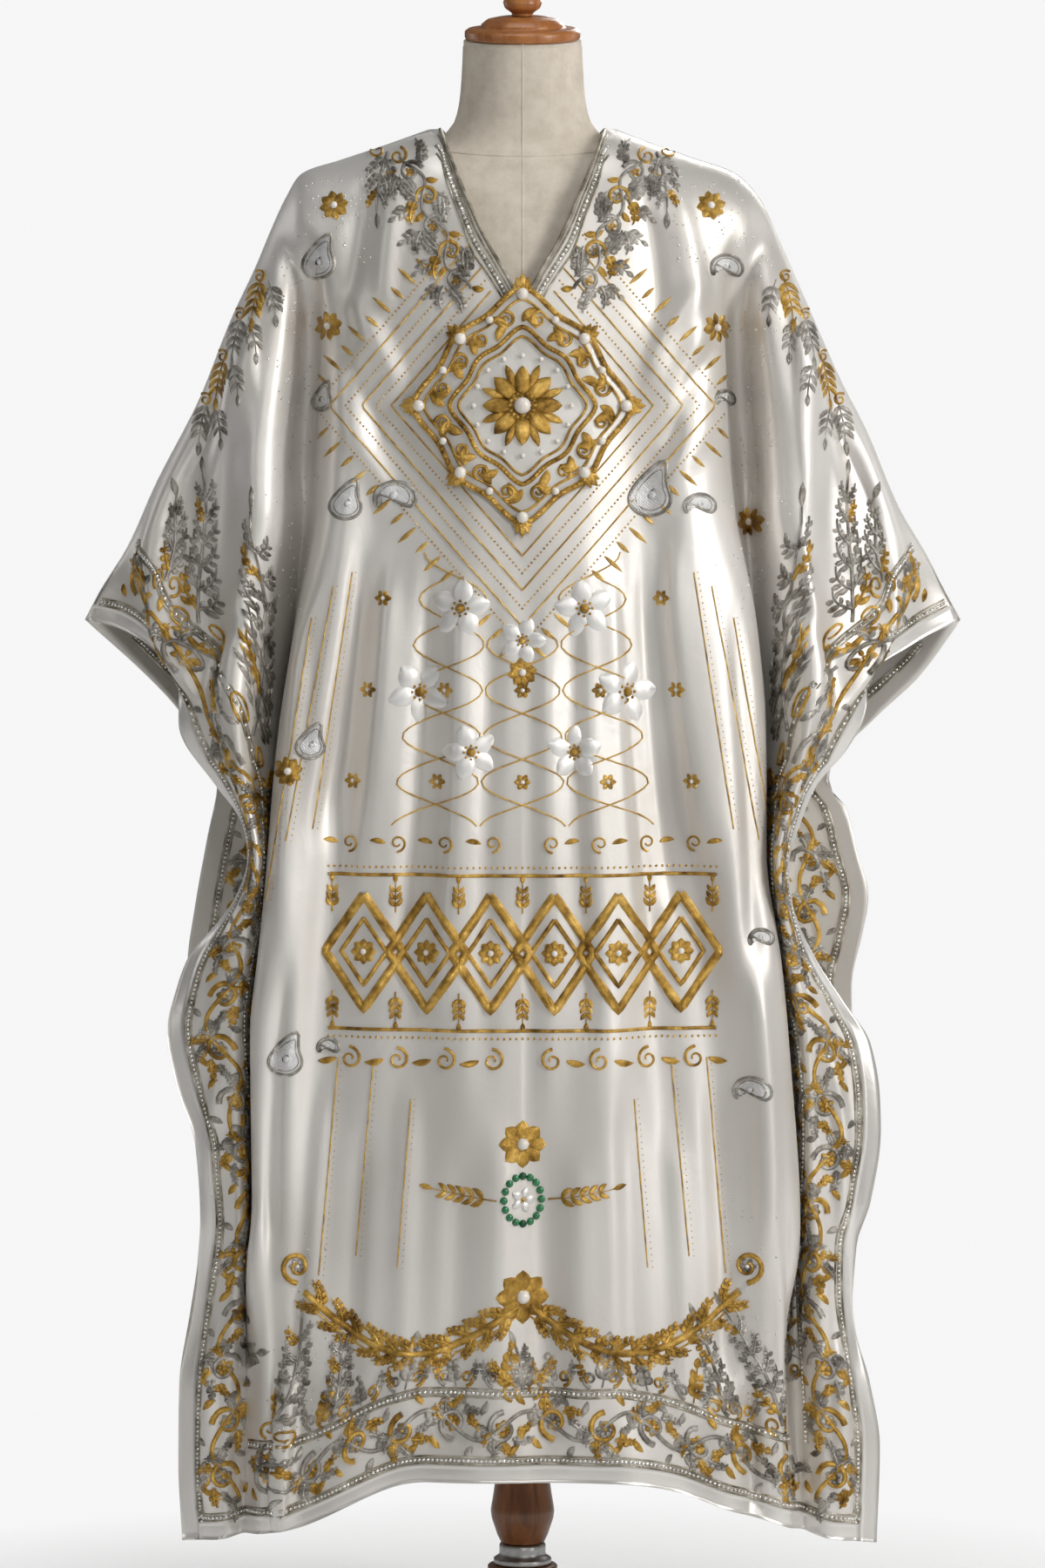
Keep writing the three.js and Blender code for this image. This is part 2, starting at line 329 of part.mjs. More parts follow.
// closed solid over a set of grid cells, between two distances along the normals
function sheetSolid(grid, wanted, lo, hi, inset) {
  const { P, N, isFront, rows, cols } = grid;
  const has = (i, j) => i >= 0 && j >= 0 && i < rows - 1 && j < cols - 1 && wanted(i, j);
  const ids = new Map(), verts = [], tris = [];
  const sign = isFront ? -1 : 1;
  const place = (i, j) => {
    let p = P[i][j].clone();
    if (inset) {
      const own = [[i - 1, j - 1], [i - 1, j], [i, j - 1], [i, j]].filter(([a, b]) => has(a, b));
      if (own.length < 4) {
        const mid = new THREE.Vector3();
        for (const [a, b] of own) mid.add(P[a][b]).add(P[a + 1][b]).add(P[a][b + 1]).add(P[a + 1][b + 1]);
        mid.multiplyScalar(1 / (4 * own.length));
        p.add(mid.sub(p).setLength(inset * (own.length === 2 ? 1.15 : 1.6)));
      }
    }
    return p;
  };
  const vid = (i, j, layer) => {
    const key = i + ',' + j + ',' + layer;
    if (!ids.has(key)) {
      const p = place(i, j).addScaledVector(N[i][j], layer ? hi : lo);
      if (sign * p.y < SEAM_GAP / 2) p.y = sign * SEAM_GAP / 2;
      ids.set(key, verts.length / 3);
      verts.push(p.x, p.y, p.z);
    }
    return ids.get(key);
  };
  const quad = (a, b, c, d) => { if (isFront) tris.push(a, b, c, a, c, d); else tris.push(a, c, b, a, d, c); };
  for (let i = 0; i < rows - 1; i++) for (let j = 0; j < cols - 1; j++) {
    if (!has(i, j)) continue;
    quad(vid(i, j, 1), vid(i + 1, j, 1), vid(i + 1, j + 1, 1), vid(i, j + 1, 1));
    quad(vid(i, j, 0), vid(i, j + 1, 0), vid(i + 1, j + 1, 0), vid(i + 1, j, 0));
    if (!has(i - 1, j)) quad(vid(i, j, 0), vid(i, j, 1), vid(i, j + 1, 1), vid(i, j + 1, 0));
    if (!has(i + 1, j)) quad(vid(i + 1, j + 1, 1), vid(i + 1, j, 1), vid(i + 1, j, 0), vid(i + 1, j + 1, 0));
    if (!has(i, j - 1)) quad(vid(i + 1, j, 1), vid(i, j, 1), vid(i, j, 0), vid(i + 1, j, 0));
    if (!has(i, j + 1)) quad(vid(i, j + 1, 0), vid(i, j + 1, 1), vid(i + 1, j + 1, 1), vid(i + 1, j + 1, 0));
  }
  const g = new THREE.BufferGeometry();
  g.setAttribute('position', new THREE.Float32BufferAttribute(verts, 3));
  g.setIndex(tris);
  g.computeVertexNormals();
  return g;
}

// ---------------------------------------------------------------- applique at the foot of the V
function onPanel(grid, x, z) {
  const { P, rows, cols } = grid;
  for (let i = 0; i < rows - 1; i++) for (let j = 0; j < cols - 1; j++) {
    for (const [a, b, c] of [[P[i][j], P[i + 1][j], P[i + 1][j + 1]], [P[i][j], P[i + 1][j + 1], P[i][j + 1]]]) {
      const d = (b.x - a.x) * (c.z - a.z) - (c.x - a.x) * (b.z - a.z);
      if (Math.abs(d) < 1e-9) continue;
      const s = ((x - a.x) * (c.z - a.z) - (c.x - a.x) * (z - a.z)) / d;
      const t = ((b.x - a.x) * (z - a.z) - (x - a.x) * (b.z - a.z)) / d;
      if (s >= -1e-6 && t >= -1e-6 && s + t <= 1 + 1e-6) return a.y + s * (b.y - a.y) + t * (c.y - a.y);
    }
  }
  return null;
}
// eight-lobed lozenge: radius share by angle
function lobe(angle) {
  const c = Math.abs(Math.cos(angle)), s = Math.abs(Math.sin(angle));
  const lozenge = 1 / (Math.pow(Math.pow(c, 1.35) + Math.pow(s, 1.35), 1 / 1.35));
  return lozenge * (1 + 0.035 * Math.cos(8 * angle));
}
function medallionSolid(grid) {
  const rings = [0, 0.34, 0.62, 0.84, 1], sides = 48;
  const verts = [], tris = [];
  const yAt = (x, z) => {
    const y = onPanel(grid, x, z);
    return y === null ? onPanel(grid, Math.sign(x || 1) * (Math.abs(x) + 26), z) : y;
  };
  const layers = [];
  for (const layer of [0, 1]) {
    const ids = [];
    for (const r of rings) {
      const ring = [];
      for (let k = 0; k < (r === 0 ? 1 : sides); k++) {
        const a = 2 * Math.PI * k / sides, q = r * lobe(a);
        const x = MEDALLION.halfWide * q * Math.cos(a), z = MEDALLION.z + MEDALLION.halfHigh * q * Math.sin(a);
        const flat = yAt(0, MEDALLION.z - 60), y = Math.min(yAt(x, Math.min(z, V_POINT - 6)), flat + 34);
        const bulge = layer ? MEDALLION.thick * (r > 0.9 ? 0.7 : 1) : 0;
        ring.push(verts.length / 3);
        verts.push(x, y - WALL / 2 - MEDALLION.lift - bulge, z);
      }
      ids.push(ring);
    }
    layers.push(ids);
  }
  const put = (a, b, c, flip) => { if (flip) tris.push(a, c, b); else tris.push(a, b, c); };
  for (const layer of [0, 1]) {
    const ids = layers[layer], flip = layer === 0;
    for (let k = 0; k < sides; k++) {
      const n = (k + 1) % sides;
      put(ids[0][0], ids[1][k], ids[1][n], flip);
      for (let r = 1; r < rings.length - 1; r++) {
        put(ids[r][k], ids[r + 1][k], ids[r + 1][n], flip);
        put(ids[r][k], ids[r + 1][n], ids[r][n], flip);
      }
    }
  }
  const a = layers[0][rings.length - 1], b = layers[1][rings.length - 1];
  for (let k = 0; k < sides; k++) {
    const n = (k + 1) % sides;
    put(a[k], b[n], b[k], false);
    put(a[k], a[n], b[n], false);
  }
  const g = new THREE.BufferGeometry();
  g.setAttribute('position', new THREE.Float32BufferAttribute(verts, 3));
  g.setIndex(tris);
  g.computeVertexNormals();
  return g;
}

// ---------------------------------------------------------------- dress form and stand
// sections of the linen form: half width, half depth, forward shift, and how far the front edge dips
const FORM = [
  { z: 850, wide: 150, deep: 100, fore: 0 }, { z: 862, wide: 160, deep: 106, fore: 0 }, { z: 950, wide: 172, deep: 112, fore: 0 },
  { z: 1060, wide: 152, deep: 100, fore: 2 }, { z: 1150, wide: 138, deep: 92, fore: 4 }, { z: 1250, wide: 150, deep: 104, fore: 6 },
  { z: 1340, wide: 166, deep: 114, fore: 6 }, { z: 1420, wide: 182, deep: 110, fore: 5 }, { z: 1480, wide: 196, deep: 100, fore: 3 },
  { z: 1508, wide: 196, deep: 94, fore: 2 }, { z: 1524, wide: 186, deep: 89, fore: 1 }, { z: 1538, wide: 154, deep: 79, fore: 0 },
  { z: 1552, wide: 117, deep: 68, fore: 0 }, { z: 1564, wide: 91, deep: 60, fore: 0 }, { z: 1576, wide: 78, deep: 57, fore: 1 },
  { z: 1590, wide: 68, deep: 56, fore: 2 }, { z: 1616, wide: 63, deep: 57, fore: 4 }, { z: 1645, wide: 61, deep: 56.5, fore: 5 }, { z: 1670, wide: 60, deep: 56, fore: 6, tilt: 8.87 },
];
function loft(sections, sides) {
  const verts = [], tris = [];
  for (const s of sections) for (let k = 0; k < sides; k++) {
    const a = 2 * Math.PI * k / sides;
    verts.push(s.wide * Math.cos(a), s.deep * Math.sin(a) - s.fore, s.z + (s.tilt || 0) * Math.sin(a));
  }
  const last = sections.length - 1;
  for (let i = 0; i < last; i++) for (let k = 0; k < sides; k++) {
    const n = (k + 1) % sides, a = i * sides;
    tris.push(a + k, a + n, a + sides + n, a + k, a + sides + n, a + sides + k);
  }
  for (let k = 1; k < sides - 1; k++) {
    tris.push(0, k + 1, k);
    tris.push(last * sides, last * sides + k, last * sides + k + 1);
  }
  const g = new THREE.BufferGeometry();
  g.setAttribute('position', new THREE.Float32BufferAttribute(verts, 3));
  g.setIndex(tris);
  g.computeVertexNormals();
  return g;
}
// turned pieces: radius and height, foot to top
const CAP_TILT = 9 * Math.PI / 180;
const NECK_CAP = [{ r: 0, z: 0 }, { r: 57, z: 0 }, { r: 59, z: 3 }, { r: 59, z: 9 }, { r: 55, z: 12 }, { r: 43, z: 13 }, { r: 42, z: 16 }, { r: 36, z: 21 }, { r: 22, z: 24 }, { r: 0, z: 24 }];
const FINIAL = [{ r: 0, z: 0 }, { r: 11, z: 0 }, { r: 11, z: 3 }, { r: 18, z: 8 }, { r: 20, z: 14 }, { r: 17, z: 20 }, { r: 10, z: 25 }, { r: 10, z: 33 }, { r: 15, z: 39 }, { r: 17, z: 46 }, { r: 13, z: 54 }, { r: 0, z: 58 }];
const POLE = [{ r: 0, z: 126 }, { r: 22, z: 126 }, { r: 26, z: 134 }, { r: 32, z: 152 }, { r: 33, z: 160 }, { r: 30, z: 178 }, { r: 27, z: 200 }, { r: 26.5, z: 260 }, { r: 26, z: 560 }, { r: 25, z: 830 }, { r: 34, z: 838 }, { r: 34, z: 849.7 }, { r: 0, z: 849.7 }];
const COLLAR = [{ r: 0, z: 104 }, { r: 30, z: 104 }, { r: 30, z: 110 }, { r: 24, z: 114 }, { r: 24, z: 125.7 }, { r: 0, z: 125.7 }];
const BASE = [{ r: 0, z: 0 }, { r: 180, z: 0 }, { r: 186, z: 5 }, { r: 186, z: 16 }, { r: 176, z: 24 }, { r: 120, z: 34 }, { r: 60, z: 44 }, { r: 36, z: 62 }, { r: 30, z: 84 }, { r: 36, z: 96 }, { r: 36, z: 103.7 }, { r: 0, z: 103.7 }];
function turned(rows, sides) {
  const g = new THREE.LatheGeometry(rows.map((p) => new THREE.Vector2(p.r, p.z)), sides);
  g.rotateX(Math.PI / 2);
  return g;
}

// ---------------------------------------------------------------- assembly
const satin = (c) => new THREE.MeshStandardMaterial({ color: c, roughness: 0.38, metalness: 0.05, side: THREE.FrontSide });
const gilt = new THREE.MeshStandardMaterial({ color: 0xb8862c, roughness: 0.35, metalness: 0.8 });
const silver = new THREE.MeshStandardMaterial({ color: 0xa9a6a2, roughness: 0.4, metalness: 0.6 });
const linen = new THREE.MeshStandardMaterial({ color: 0xcdc3b4, roughness: 0.9, metalness: 0 });
const wood = new THREE.MeshStandardMaterial({ color: 0xa56432, roughness: 0.45, metalness: 0 });
const darkWood = new THREE.MeshStandardMaterial({ color: 0x784628, roughness: 0.45, metalness: 0 });
const steel = new THREE.MeshStandardMaterial({ color: 0x8d8c8a, roughness: 0.35, metalness: 1 });

const group = new THREE.Group();
function add(name, geometry, material, x = 0, y = 0, z = 0, tilt = 0) {
  const mesh = new THREE.Mesh(geometry, material);
  mesh.name = name;
  mesh.position.set(x, y, z);
  mesh.rotation.x = tilt;
  group.add(mesh);
}

for (const isFront of [true, false]) {
  const grid = panelGrid(isFront);
  const side = isFront ? 'front' : 'back';
  const { rows, cols } = grid;
  const mid = (cols - 1) / 2, neckCols = HALF_COLUMNS.indexOf(0.124);
  const outer = (j) => j < 1 || j >= cols - 2;
  const inner = (j) => j < 2 || j >= cols - 3;
  const band = (i, j) => outer(j) || i >= rows - 2;
  const braid = (i, j) => !band(i, j) && (inner(j) || i >= rows - 3);
  const neck = (i, j) => i === 0 && j >= mid - neckCols && j < mid + neckCols;
  const cloth = (i, j) => !band(i, j) && !braid(i, j) && !neck(i, j);
  // each piece takes its own cells of the one draped surface and stops short of its neighbours at the seams
  add(side + '_panel', sheetSolid(grid, cloth, -WALL / 2, WALL / 2, SEAM_INSET), satin(0xd7d4ce));
  add(side + '_edge_band', sheetSolid(grid, band, -WALL / 2, WALL / 2 + BAND_RISE, SEAM_INSET), satin(0xe2dfda));
  add(side + '_edge_braid', sheetSolid(grid, braid, -WALL / 2, WALL / 2 + BRAID_RISE, SEAM_INSET), silver);
  add(side + '_neck_trim', sheetSolid(grid, neck, -WALL / 2, WALL / 2 + BRAID_RISE, SEAM_INSET), silver);
  if (isFront) add('chest_medallion', medallionSolid(grid), gilt);
}
add('form_body', loft(FORM, FORM_SIDES), linen);
const topFore = -FORM[FORM.length - 1].fore;
// the neck's top, the cap and the finial lean forward together
const NECK_TOP_Z = FORM[FORM.length - 1].z + 0.4, CAP_HEIGHT = 24.35;
add('form_neck_cap', turned(NECK_CAP, TURN_SIDES), wood, 0, topFore, NECK_TOP_Z, CAP_TILT);
add('form_finial', turned(FINIAL, TURN_SIDES), wood, 0, topFore - Math.sin(CAP_TILT) * CAP_HEIGHT, NECK_TOP_Z + CAP_HEIGHT * Math.cos(CAP_TILT), CAP_TILT);
add('stand_pole', turned(POLE, TURN_SIDES), darkWood);
add('stand_collar', turned(COLLAR, TURN_SIDES), steel);
add('stand_base', turned(BASE, 40), darkWood);

export default group;
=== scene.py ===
# Looks of the wide embroidered dashiki on its dress form: draped satin, raised embroidery, linen, turned wood.
import bpy, math, random
import numpy as np
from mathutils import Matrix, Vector
from mathutils.bvhtree import BVHTree


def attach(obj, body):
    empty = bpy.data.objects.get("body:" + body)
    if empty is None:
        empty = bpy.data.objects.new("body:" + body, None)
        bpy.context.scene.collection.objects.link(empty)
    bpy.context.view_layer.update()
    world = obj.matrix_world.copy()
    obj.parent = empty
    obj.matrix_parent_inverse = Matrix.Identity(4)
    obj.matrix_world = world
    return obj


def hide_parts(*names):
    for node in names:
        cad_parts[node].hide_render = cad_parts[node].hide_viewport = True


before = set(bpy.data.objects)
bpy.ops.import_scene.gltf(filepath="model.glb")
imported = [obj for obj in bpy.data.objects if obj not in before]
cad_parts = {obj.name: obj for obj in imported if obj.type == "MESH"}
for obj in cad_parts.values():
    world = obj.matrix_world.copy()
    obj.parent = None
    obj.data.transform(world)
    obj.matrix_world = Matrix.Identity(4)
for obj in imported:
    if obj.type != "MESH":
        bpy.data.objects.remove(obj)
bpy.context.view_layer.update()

random.seed(7)
RNG = np.random.default_rng(7)


def rows(names, text):
    """A short table: named columns, one row to a line."""
    keys = names.split()
    return [dict(zip(keys, [float(v) for v in line.split()])) for line in text.strip().splitlines()]


# ------------------------------------------------------------------ sizes (mm), as in the solid model
WALL = 1.5
SEAM_GAP = 0.3
BAND_WIDTH, BRAID_WIDTH = 18.0, 10.0
NECK_HALF, NECK_TOP, V_POINT, BACK_NECK = 92.0, 1580.0, 1386.0, 1552.0
ROUND_FRONT, ROUND_BACK, BACK_SHRINK = 78.0, 60.0, 0.93
LEVEL = 940.0
CAP_TILT = math.radians(9)


LINES = dict(centre=0, inner=0.07, crease=0.19, roll=0.26, flank=0.33, seam=0.37, ridgeIn=0.42, ridge=0.48, ridgeOut=0.56, wing=0.78, edge=1)
TOP_LINE = {
    "left": rows("out z", """
    92 1580
    143 1562
    185 1548
    225 1534
    241 1510
    256 1478
    272 1440
    297 1387
    330 1305
    375 1218
    404 1154
    434 1106
    448 1079"""),
    "right": rows("out z", """
    92 1580
    125 1567
    170 1551
    217 1534
    244 1505
    258 1475
    292 1398
    327 1320
    350 1276
    385 1194
    412 1148
    434 1106
    449 1079"""),
}
HEM = {
    "left": dict(centre=214, inner=214, crease=160, roll=155, flank=152, seam=149, ridgeIn=147, ridge=145, ridgeOut=143, wing=141, edge=140),
    "right": dict(centre=214, inner=213, crease=176, roll=166, flank=158, seam=153, ridgeIn=149, ridge=146, ridgeOut=143, wing=140, edge=138),
}
FRONT = {
    "left": rows("z oInner oCrease oRoll oFlank oSeam oRidgeIn oRidge oRidgeOut oWing fCentre fInner fCrease fRoll fFlank fSeam fRidgeIn fRidge fRidgeOut fWing", """
    1580 46 128 176 222 246 262 282 305 372 100 100 96 88 78 66 60 60 50 40
    1510 47 132 180 222 244 262 282 305 372 112 111 98 86 74 66 66 66 55 44
    1417 48 128 172 202 222 242 270 300 372 126 124 108 96 72 50 72 84 60 48
    1320 48 132 176 200 218 242 264 290 370 133 131 112 106 74 30 76 98 66 50
    1215 51 141 180 202 220 246 272 298 365 137 135 112 112 76 13 74 104 66 56
    1079 55 158 200 227 233 253 278 312 378 140 138 112 116 78 1.2 66 106 74 58
    977 57 172 216 246 241 258 284 300 320 142 140 110 120 80 1.2 60 112 102 86
    839 63 188 233 257 247 257 262 266 272 144 142 108 124 84 1.2 52 84 114 92
    740 69 197 242 268 256 270 279 289 311 146 144 108 124 84 1.2 54 88 90 72
    664 73 201 248 276 264 278 289 303 330 147 145 108 122 84 1.2 48 82 82 72
    475 84 211 252 274 277 281 286 292 309 150 148 110 116 94 26 58 80 78 72
    300 92 224 249 264 276 286 297 310 328 154 150 114 108 98 54 66 80 76 66
    140 97 236 255 272 284 294 303 313 328 158 152 116 106 98 74 76 84 80 68"""),
    "right": rows("z oInner oCrease oRoll oFlank oSeam oRidgeIn oRidge oRidgeOut oWing fCentre fInner fCrease fRoll fFlank fSeam fRidgeIn fRidge fRidgeOut fWing", """
    1580 46 128 176 220 246 264 286 312 378 100 100 96 88 78 66 60 60 50 40
    1510 47 132 180 220 243 262 284 310 378 112 111 98 86 74 66 68 68 56 44
    1417 48 124 168 204 224 246 275 303 376 126 124 109 98 74 52 74 88 62 48
    1320 48 124 166 202 222 250 276 300 372 133 131 113 110 76 32 80 102 66 52
    1215 51 130 170 208 226 254 282 306 366 137 135 112 118 78 13 76 106 68 58
    1079 55 140 182 236 236 258 286 318 380 140 138 110 122 80 1.2 66 106 76 60
    977 57 150 194 246 240 258 282 298 318 142 140 108 126 82 1.2 60 112 102 86
    839 63 166 212 248 238 248 252 256 262 144 142 106 128 86 1.2 52 86 116 94
    740 69 178 226 262 250 262 268 274 282 146 144 106 128 86 1.2 54 90 96 78
    664 73 188 238 270 258 272 283 296 318 147 145 106 126 86 1.2 48 86 86 74
    475 84 206 252 282 280 286 294 304 324 150 148 110 120 94 26 58 82 80 74
    300 92 216 250 270 278 290 303 317 336 154 150 114 112 98 54 66 80 78 68
    140 97 226 254 274 286 297 308 322 340 158 152 118 108 98 74 76 84 82 70"""),
}
EDGE = {
    "frontLeft": rows("z out away", """
    1079 448 2
    1071 414 20
    1047 373 40
    1011 349 56
    976 349 64
    911 311 62
    873 284 56
    839 279 50
    803 290 46
    770 311 46
    736 341 50
    705 353 54
    664 362 60
    600 350 68
    552 334 72
    475 328 72
    422 333 68
    372 341 62
    299 351 60
    221 352 62
    140 348 66"""),
    "frontRight": rows("z out away", """
    1079 449 2
    1056 400 28
    1019 350 54
    990 348 62
    946 327 66
    911 297 66
    873 281 58
    831 270 52
    792 274 48
    736 297 50
    689 328 54
    651 354 58
    594 364 64
    561 365 68
    491 355 74
    444 342 70
    391 341 64
    345 346 60
    299 355 60
    237 365 64
    138 362 68"""),
    "backLeft": rows("z out away", """
    1079 448 2
    1033 400 34
    979 352 56
    914 316 66
    852 327 62
    778 340 56
    720 348 60
    640 340 72
    550 322 84
    460 318 84
    360 330 74
    250 342 70
    146 340 78"""),
    "backRight": rows("z out away", """
    1079 449 2
    1019 408 34
    976 365 56
    932 323 66
    911 314 68
    883 336 64
    834 348 58
    792 359 54
    749 352 56
    700 342 62
    600 346 76
    500 340 84
    400 330 76
    290 344 70
    144 350 78"""),
}
FRONT_FOLDS = rows("side uTop uFoot half rise zTop zFoot", """
    -1 0.055 0.045 0.022 5 1080 200
    -1 0.1 0.095 0.026 -7 1190 160
    -1 0.14 0.14 0.03 8 1250 160
    -1 0.225 0.225 0.02 4 1150 400
    1 0.035 0.03 0.022 -5 1000 180
    1 0.085 0.08 0.024 7 1160 170
    1 0.125 0.13 0.024 -8 1230 150
    1 0.16 0.165 0.024 6 1230 260""")
BACK_FOLDS = rows("side uTop uFoot half rise zTop zFoot", """
    -1 0.03 0.04 0.028 -9 1350 150
    -1 0.09 0.095 0.03 10 1330 150
    -1 0.15 0.145 0.024 -8 1280 150
    1 0.05 0.045 0.03 8 1310 150
    1 0.115 0.115 0.028 -10 1340 150
    1 0.165 0.16 0.024 7 1240 200""")
HALF_COLUMNS = [0,0.045,0.085,0.11,0.124,0.155,0.19,0.225,0.26,0.3,0.33,0.35,0.37,0.393,0.42,0.48,0.56]
ROWS_HIGH = [0,0.1,0.21,0.32,0.43,0.545,0.66,0.775,0.89,1]
ROWS_LOW = [0.09,0.18,0.27,0.36,0.455,0.56,0.67,0.78,0.89,1]
FORM = rows("z wide deep fore", """
    850 150 100 0
    862 160 106 0
    950 172 112 0
    1060 152 100 2
    1150 138 92 4
    1250 150 104 6
    1340 166 114 6
    1420 182 110 5
    1480 196 100 3
    1508 196 94 2
    1524 186 89 1
    1538 154 79 0
    1552 117 68 0
    1564 91 60 0
    1576 78 57 1
    1590 68 56 2
    1616 63 57 4
    1645 61 56.5 5
    1670 60 56 6""")
NECK_CAP = rows("r z", """
    0 0
    57 0
    59 3
    59 9
    55 12
    43 13
    42 16
    36 21
    22 24
    0 24""")
FINIAL = rows("r z", """
    0 0
    11 0
    11 3
    18 8
    20 14
    17 20
    10 25
    10 33
    15 39
    17 46
    13 54
    0 58""")
POLE = rows("r z", """
    0 126
    22 126
    26 134
    32 152
    33 160
    30 178
    27 200
    26.5 260
    26 560
    25 830
    34 838
    34 849.7
    0 849.7""")
COLLAR = rows("r z", """
    0 104
    30 104
    30 110
    24 114
    24 125.7
    0 125.7""")
BASE = rows("r z", """
    0 0
    180 0
    186 5
    186 16
    176 24
    120 34
    60 44
    36 62
    30 84
    36 96
    36 103.7
    0 103.7""")

# soft creases laid on the front and back: start and end seen from the front (out to the viewer's
# right, height), sideways bow, half width and rise (+ ridge, - trough), all in mm
FRONT_CREASES = rows("x0 z0 x1 z1 bow half rise", """
    -232 1500 -262 1120 10 16 5
    -215 1490 -232 1180 -6 10 -5
    -262 1450 -300 1060 -14 13 -6
    -285 1400 -340 1120 -12 15 5
    -300 1360 -380 1150 -10 13 -5
    -330 1300 -400 1110 8 12 4
    -250 1130 -335 985 12 11 -4
    -276 1180 -300 960 6 9 4
    -150 1540 -178 1330 10 12 -3.5
    -118 1545 -140 1380 6 10 3
    -190 1420 -120 1300 -8 10 3.5
    -205 1370 -135 1250 -8 9 -3
    -196 1300 -128 1180 -10 10 3
    -160 1180 -206 840 -8 11 -5
    -130 1180 -172 760 -8 12 5
    -92 1170 -128 700 -6 10 -5
    -60 1160 -84 640 -6 11 4.5
    -28 1150 -40 560 3 9 -4
    -214 1120 -242 720 6 9 4
    -236 760 -256 420 6 10 -5
    -196 640 -214 300 4 10 4.5
    -160 600 -176 240 4 12 -5.5
    -112 640 -120 230 3 13 5.5
    -66 560 -74 220 -3 12 -5.5
    -22 600 -24 220 2 12 4.5
    -232 330 -244 150 3 9 7
    -262 520 -276 180 5 8 4
    -300 640 -322 420 8 9 4
    -330 560 -338 300 -5 9 -4
    -312 360 -318 160 4 9 4
    234 1500 266 1120 -10 16 5
    214 1490 236 1180 6 10 -5
    266 1450 306 1060 12 13 -6
    288 1400 345 1110 12 14 5
    306 1350 384 1140 10 12 -5
    336 1290 404 1108 -8 12 4
    255 1130 330 985 -12 11 -4
    282 1180 300 960 -6 9 4
    146 1540 176 1320 -10 12 3.5
    112 1545 138 1370 -6 10 -3
    188 1430 122 1310 8 10 3.5
    206 1380 140 1240 8 9 -3
    198 1290 130 1170 10 10 3
    150 1190 196 820 8 12 5
    120 1180 160 740 8 11 -5
    86 1170 118 680 6 11 5
    52 1160 70 620 6 10 -4.5
    22 1140 26 520 -3 9 4
    210 1120 236 700 -6 10 -4.5
    232 760 250 420 -6 10 5
    190 640 206 280 -4 11 -5
    150 600 162 230 -4 12 5
    104 640 112 225 -3 12 -5.5
    58 560 64 220 3 12 5
    18 560 20 218 -2 10 -4
    226 330 236 160 -3 9 -6
    262 520 278 180 -5 8 -4
    306 660 330 440 -8 9 4
    336 560 348 300 5 9 -4
    316 360 326 160 -4 9 4
""")
BACK_CREASES = rows("x0 z0 x1 z1 bow half rise", """
    -232 1500 -262 1120 10 16 5
    -262 1450 -300 1060 -14 13 -5
    -300 1360 -380 1150 -10 13 5
    -330 1300 -400 1110 8 12 -4
    -150 1530 -190 1280 10 14 -4
    -90 1530 -120 1300 -8 12 4
    -40 1540 -60 1330 5 12 -4
    -120 1240 -150 760 -8 13 5
    -70 1260 -96 700 6 12 -5
    -20 1260 -30 640 -4 12 5
    -200 1100 -236 700 8 10 -4.5
    -214 700 -230 240 4 12 5
    -150 620 -160 230 4 12 -5
    -90 600 -96 225 3 12 5
    -36 600 -40 222 -3 12 -4.5
    -310 640 -330 300 6 10 4
    236 1500 262 1130 -10 15 5
    262 1440 304 1060 12 13 -5
    306 1350 386 1140 10 12 5
    140 1530 186 1270 -10 13 4
    96 1535 122 1300 8 12 -4
    46 1540 64 1330 -5 12 4
    126 1240 160 750 8 13 -5
    76 1250 100 690 -6 12 5
    24 1260 34 640 4 11 -4.5
    206 1100 238 700 -8 10 4
    212 700 228 240 -4 12 -5
    156 620 166 230 -4 12 5
    98 600 104 225 -3 12 -5
    42 600 46 222 3 12 4.5
    314 640 334 300 -6 10 -4
""")


# ------------------------------------------------------------------ smooth interpolation on arrays
def smooth(xs, ys, x):
    """Shape-keeping cubic through (xs, ys); x is an array."""
    xs, ys = np.asarray(xs, float), np.asarray(ys, float)
    h = np.diff(xs)
    d = np.diff(ys) / h
    m = np.empty(len(xs))
    m[0], m[-1] = d[0], d[-1]
    for k in range(1, len(xs) - 1):
        if d[k - 1] * d[k] <= 0:
            m[k] = 0
        else:
            w0, w1 = 2 * h[k] + h[k - 1], h[k] + 2 * h[k - 1]
            m[k] = (w0 + w1) / (w0 / d[k - 1] + w1 / d[k])
    x = np.clip(np.asarray(x, float), xs[0], xs[-1])
    i = np.clip(np.searchsorted(xs, x, side="right") - 1, 0, len(xs) - 2)
    t = (x - xs[i]) / h[i]
    a = 1 - t
    return (1 + 2 * t) * a * a * ys[i] + t * a * a * h[i] * m[i] + t * t * (3 - 2 * t) * ys[i + 1] - t * t * a * h[i] * m[i + 1]


def round_across(us, ys, u):
    """Rounder cubic across a section: ys is (lines, points), u is (points)."""
    us = np.asarray(us, float)
    h = np.diff(us)[:, None]
    d = np.diff(ys, axis=0) / h
    m = np.zeros_like(ys)
    m[-1] = d[-1]
    m[1:-1] = (d[:-1] * h[1:] + d[1:] * h[:-1]) / (h[:-1] + h[1:])
    u = np.clip(u, us[0], us[-1])
    i = np.clip(np.searchsorted(us, u, side="right") - 1, 0, len(us) - 2)
    p = np.arange(len(u))
    hh = np.diff(us)[i]
    t = (u - us[i]) / hh
    a = 1 - t
    return (1 + 2 * t) * a * a * ys[i, p] + t * a * a * hh * m[i, p] + t * t * (3 - 2 * t) * ys[i + 1, p] - t * t * a * hh * m[i + 1, p]


NAMES = list(LINES)
US = np.array([LINES[n] for n in NAMES])
cap = lambda s: s[0].upper() + s[1:]


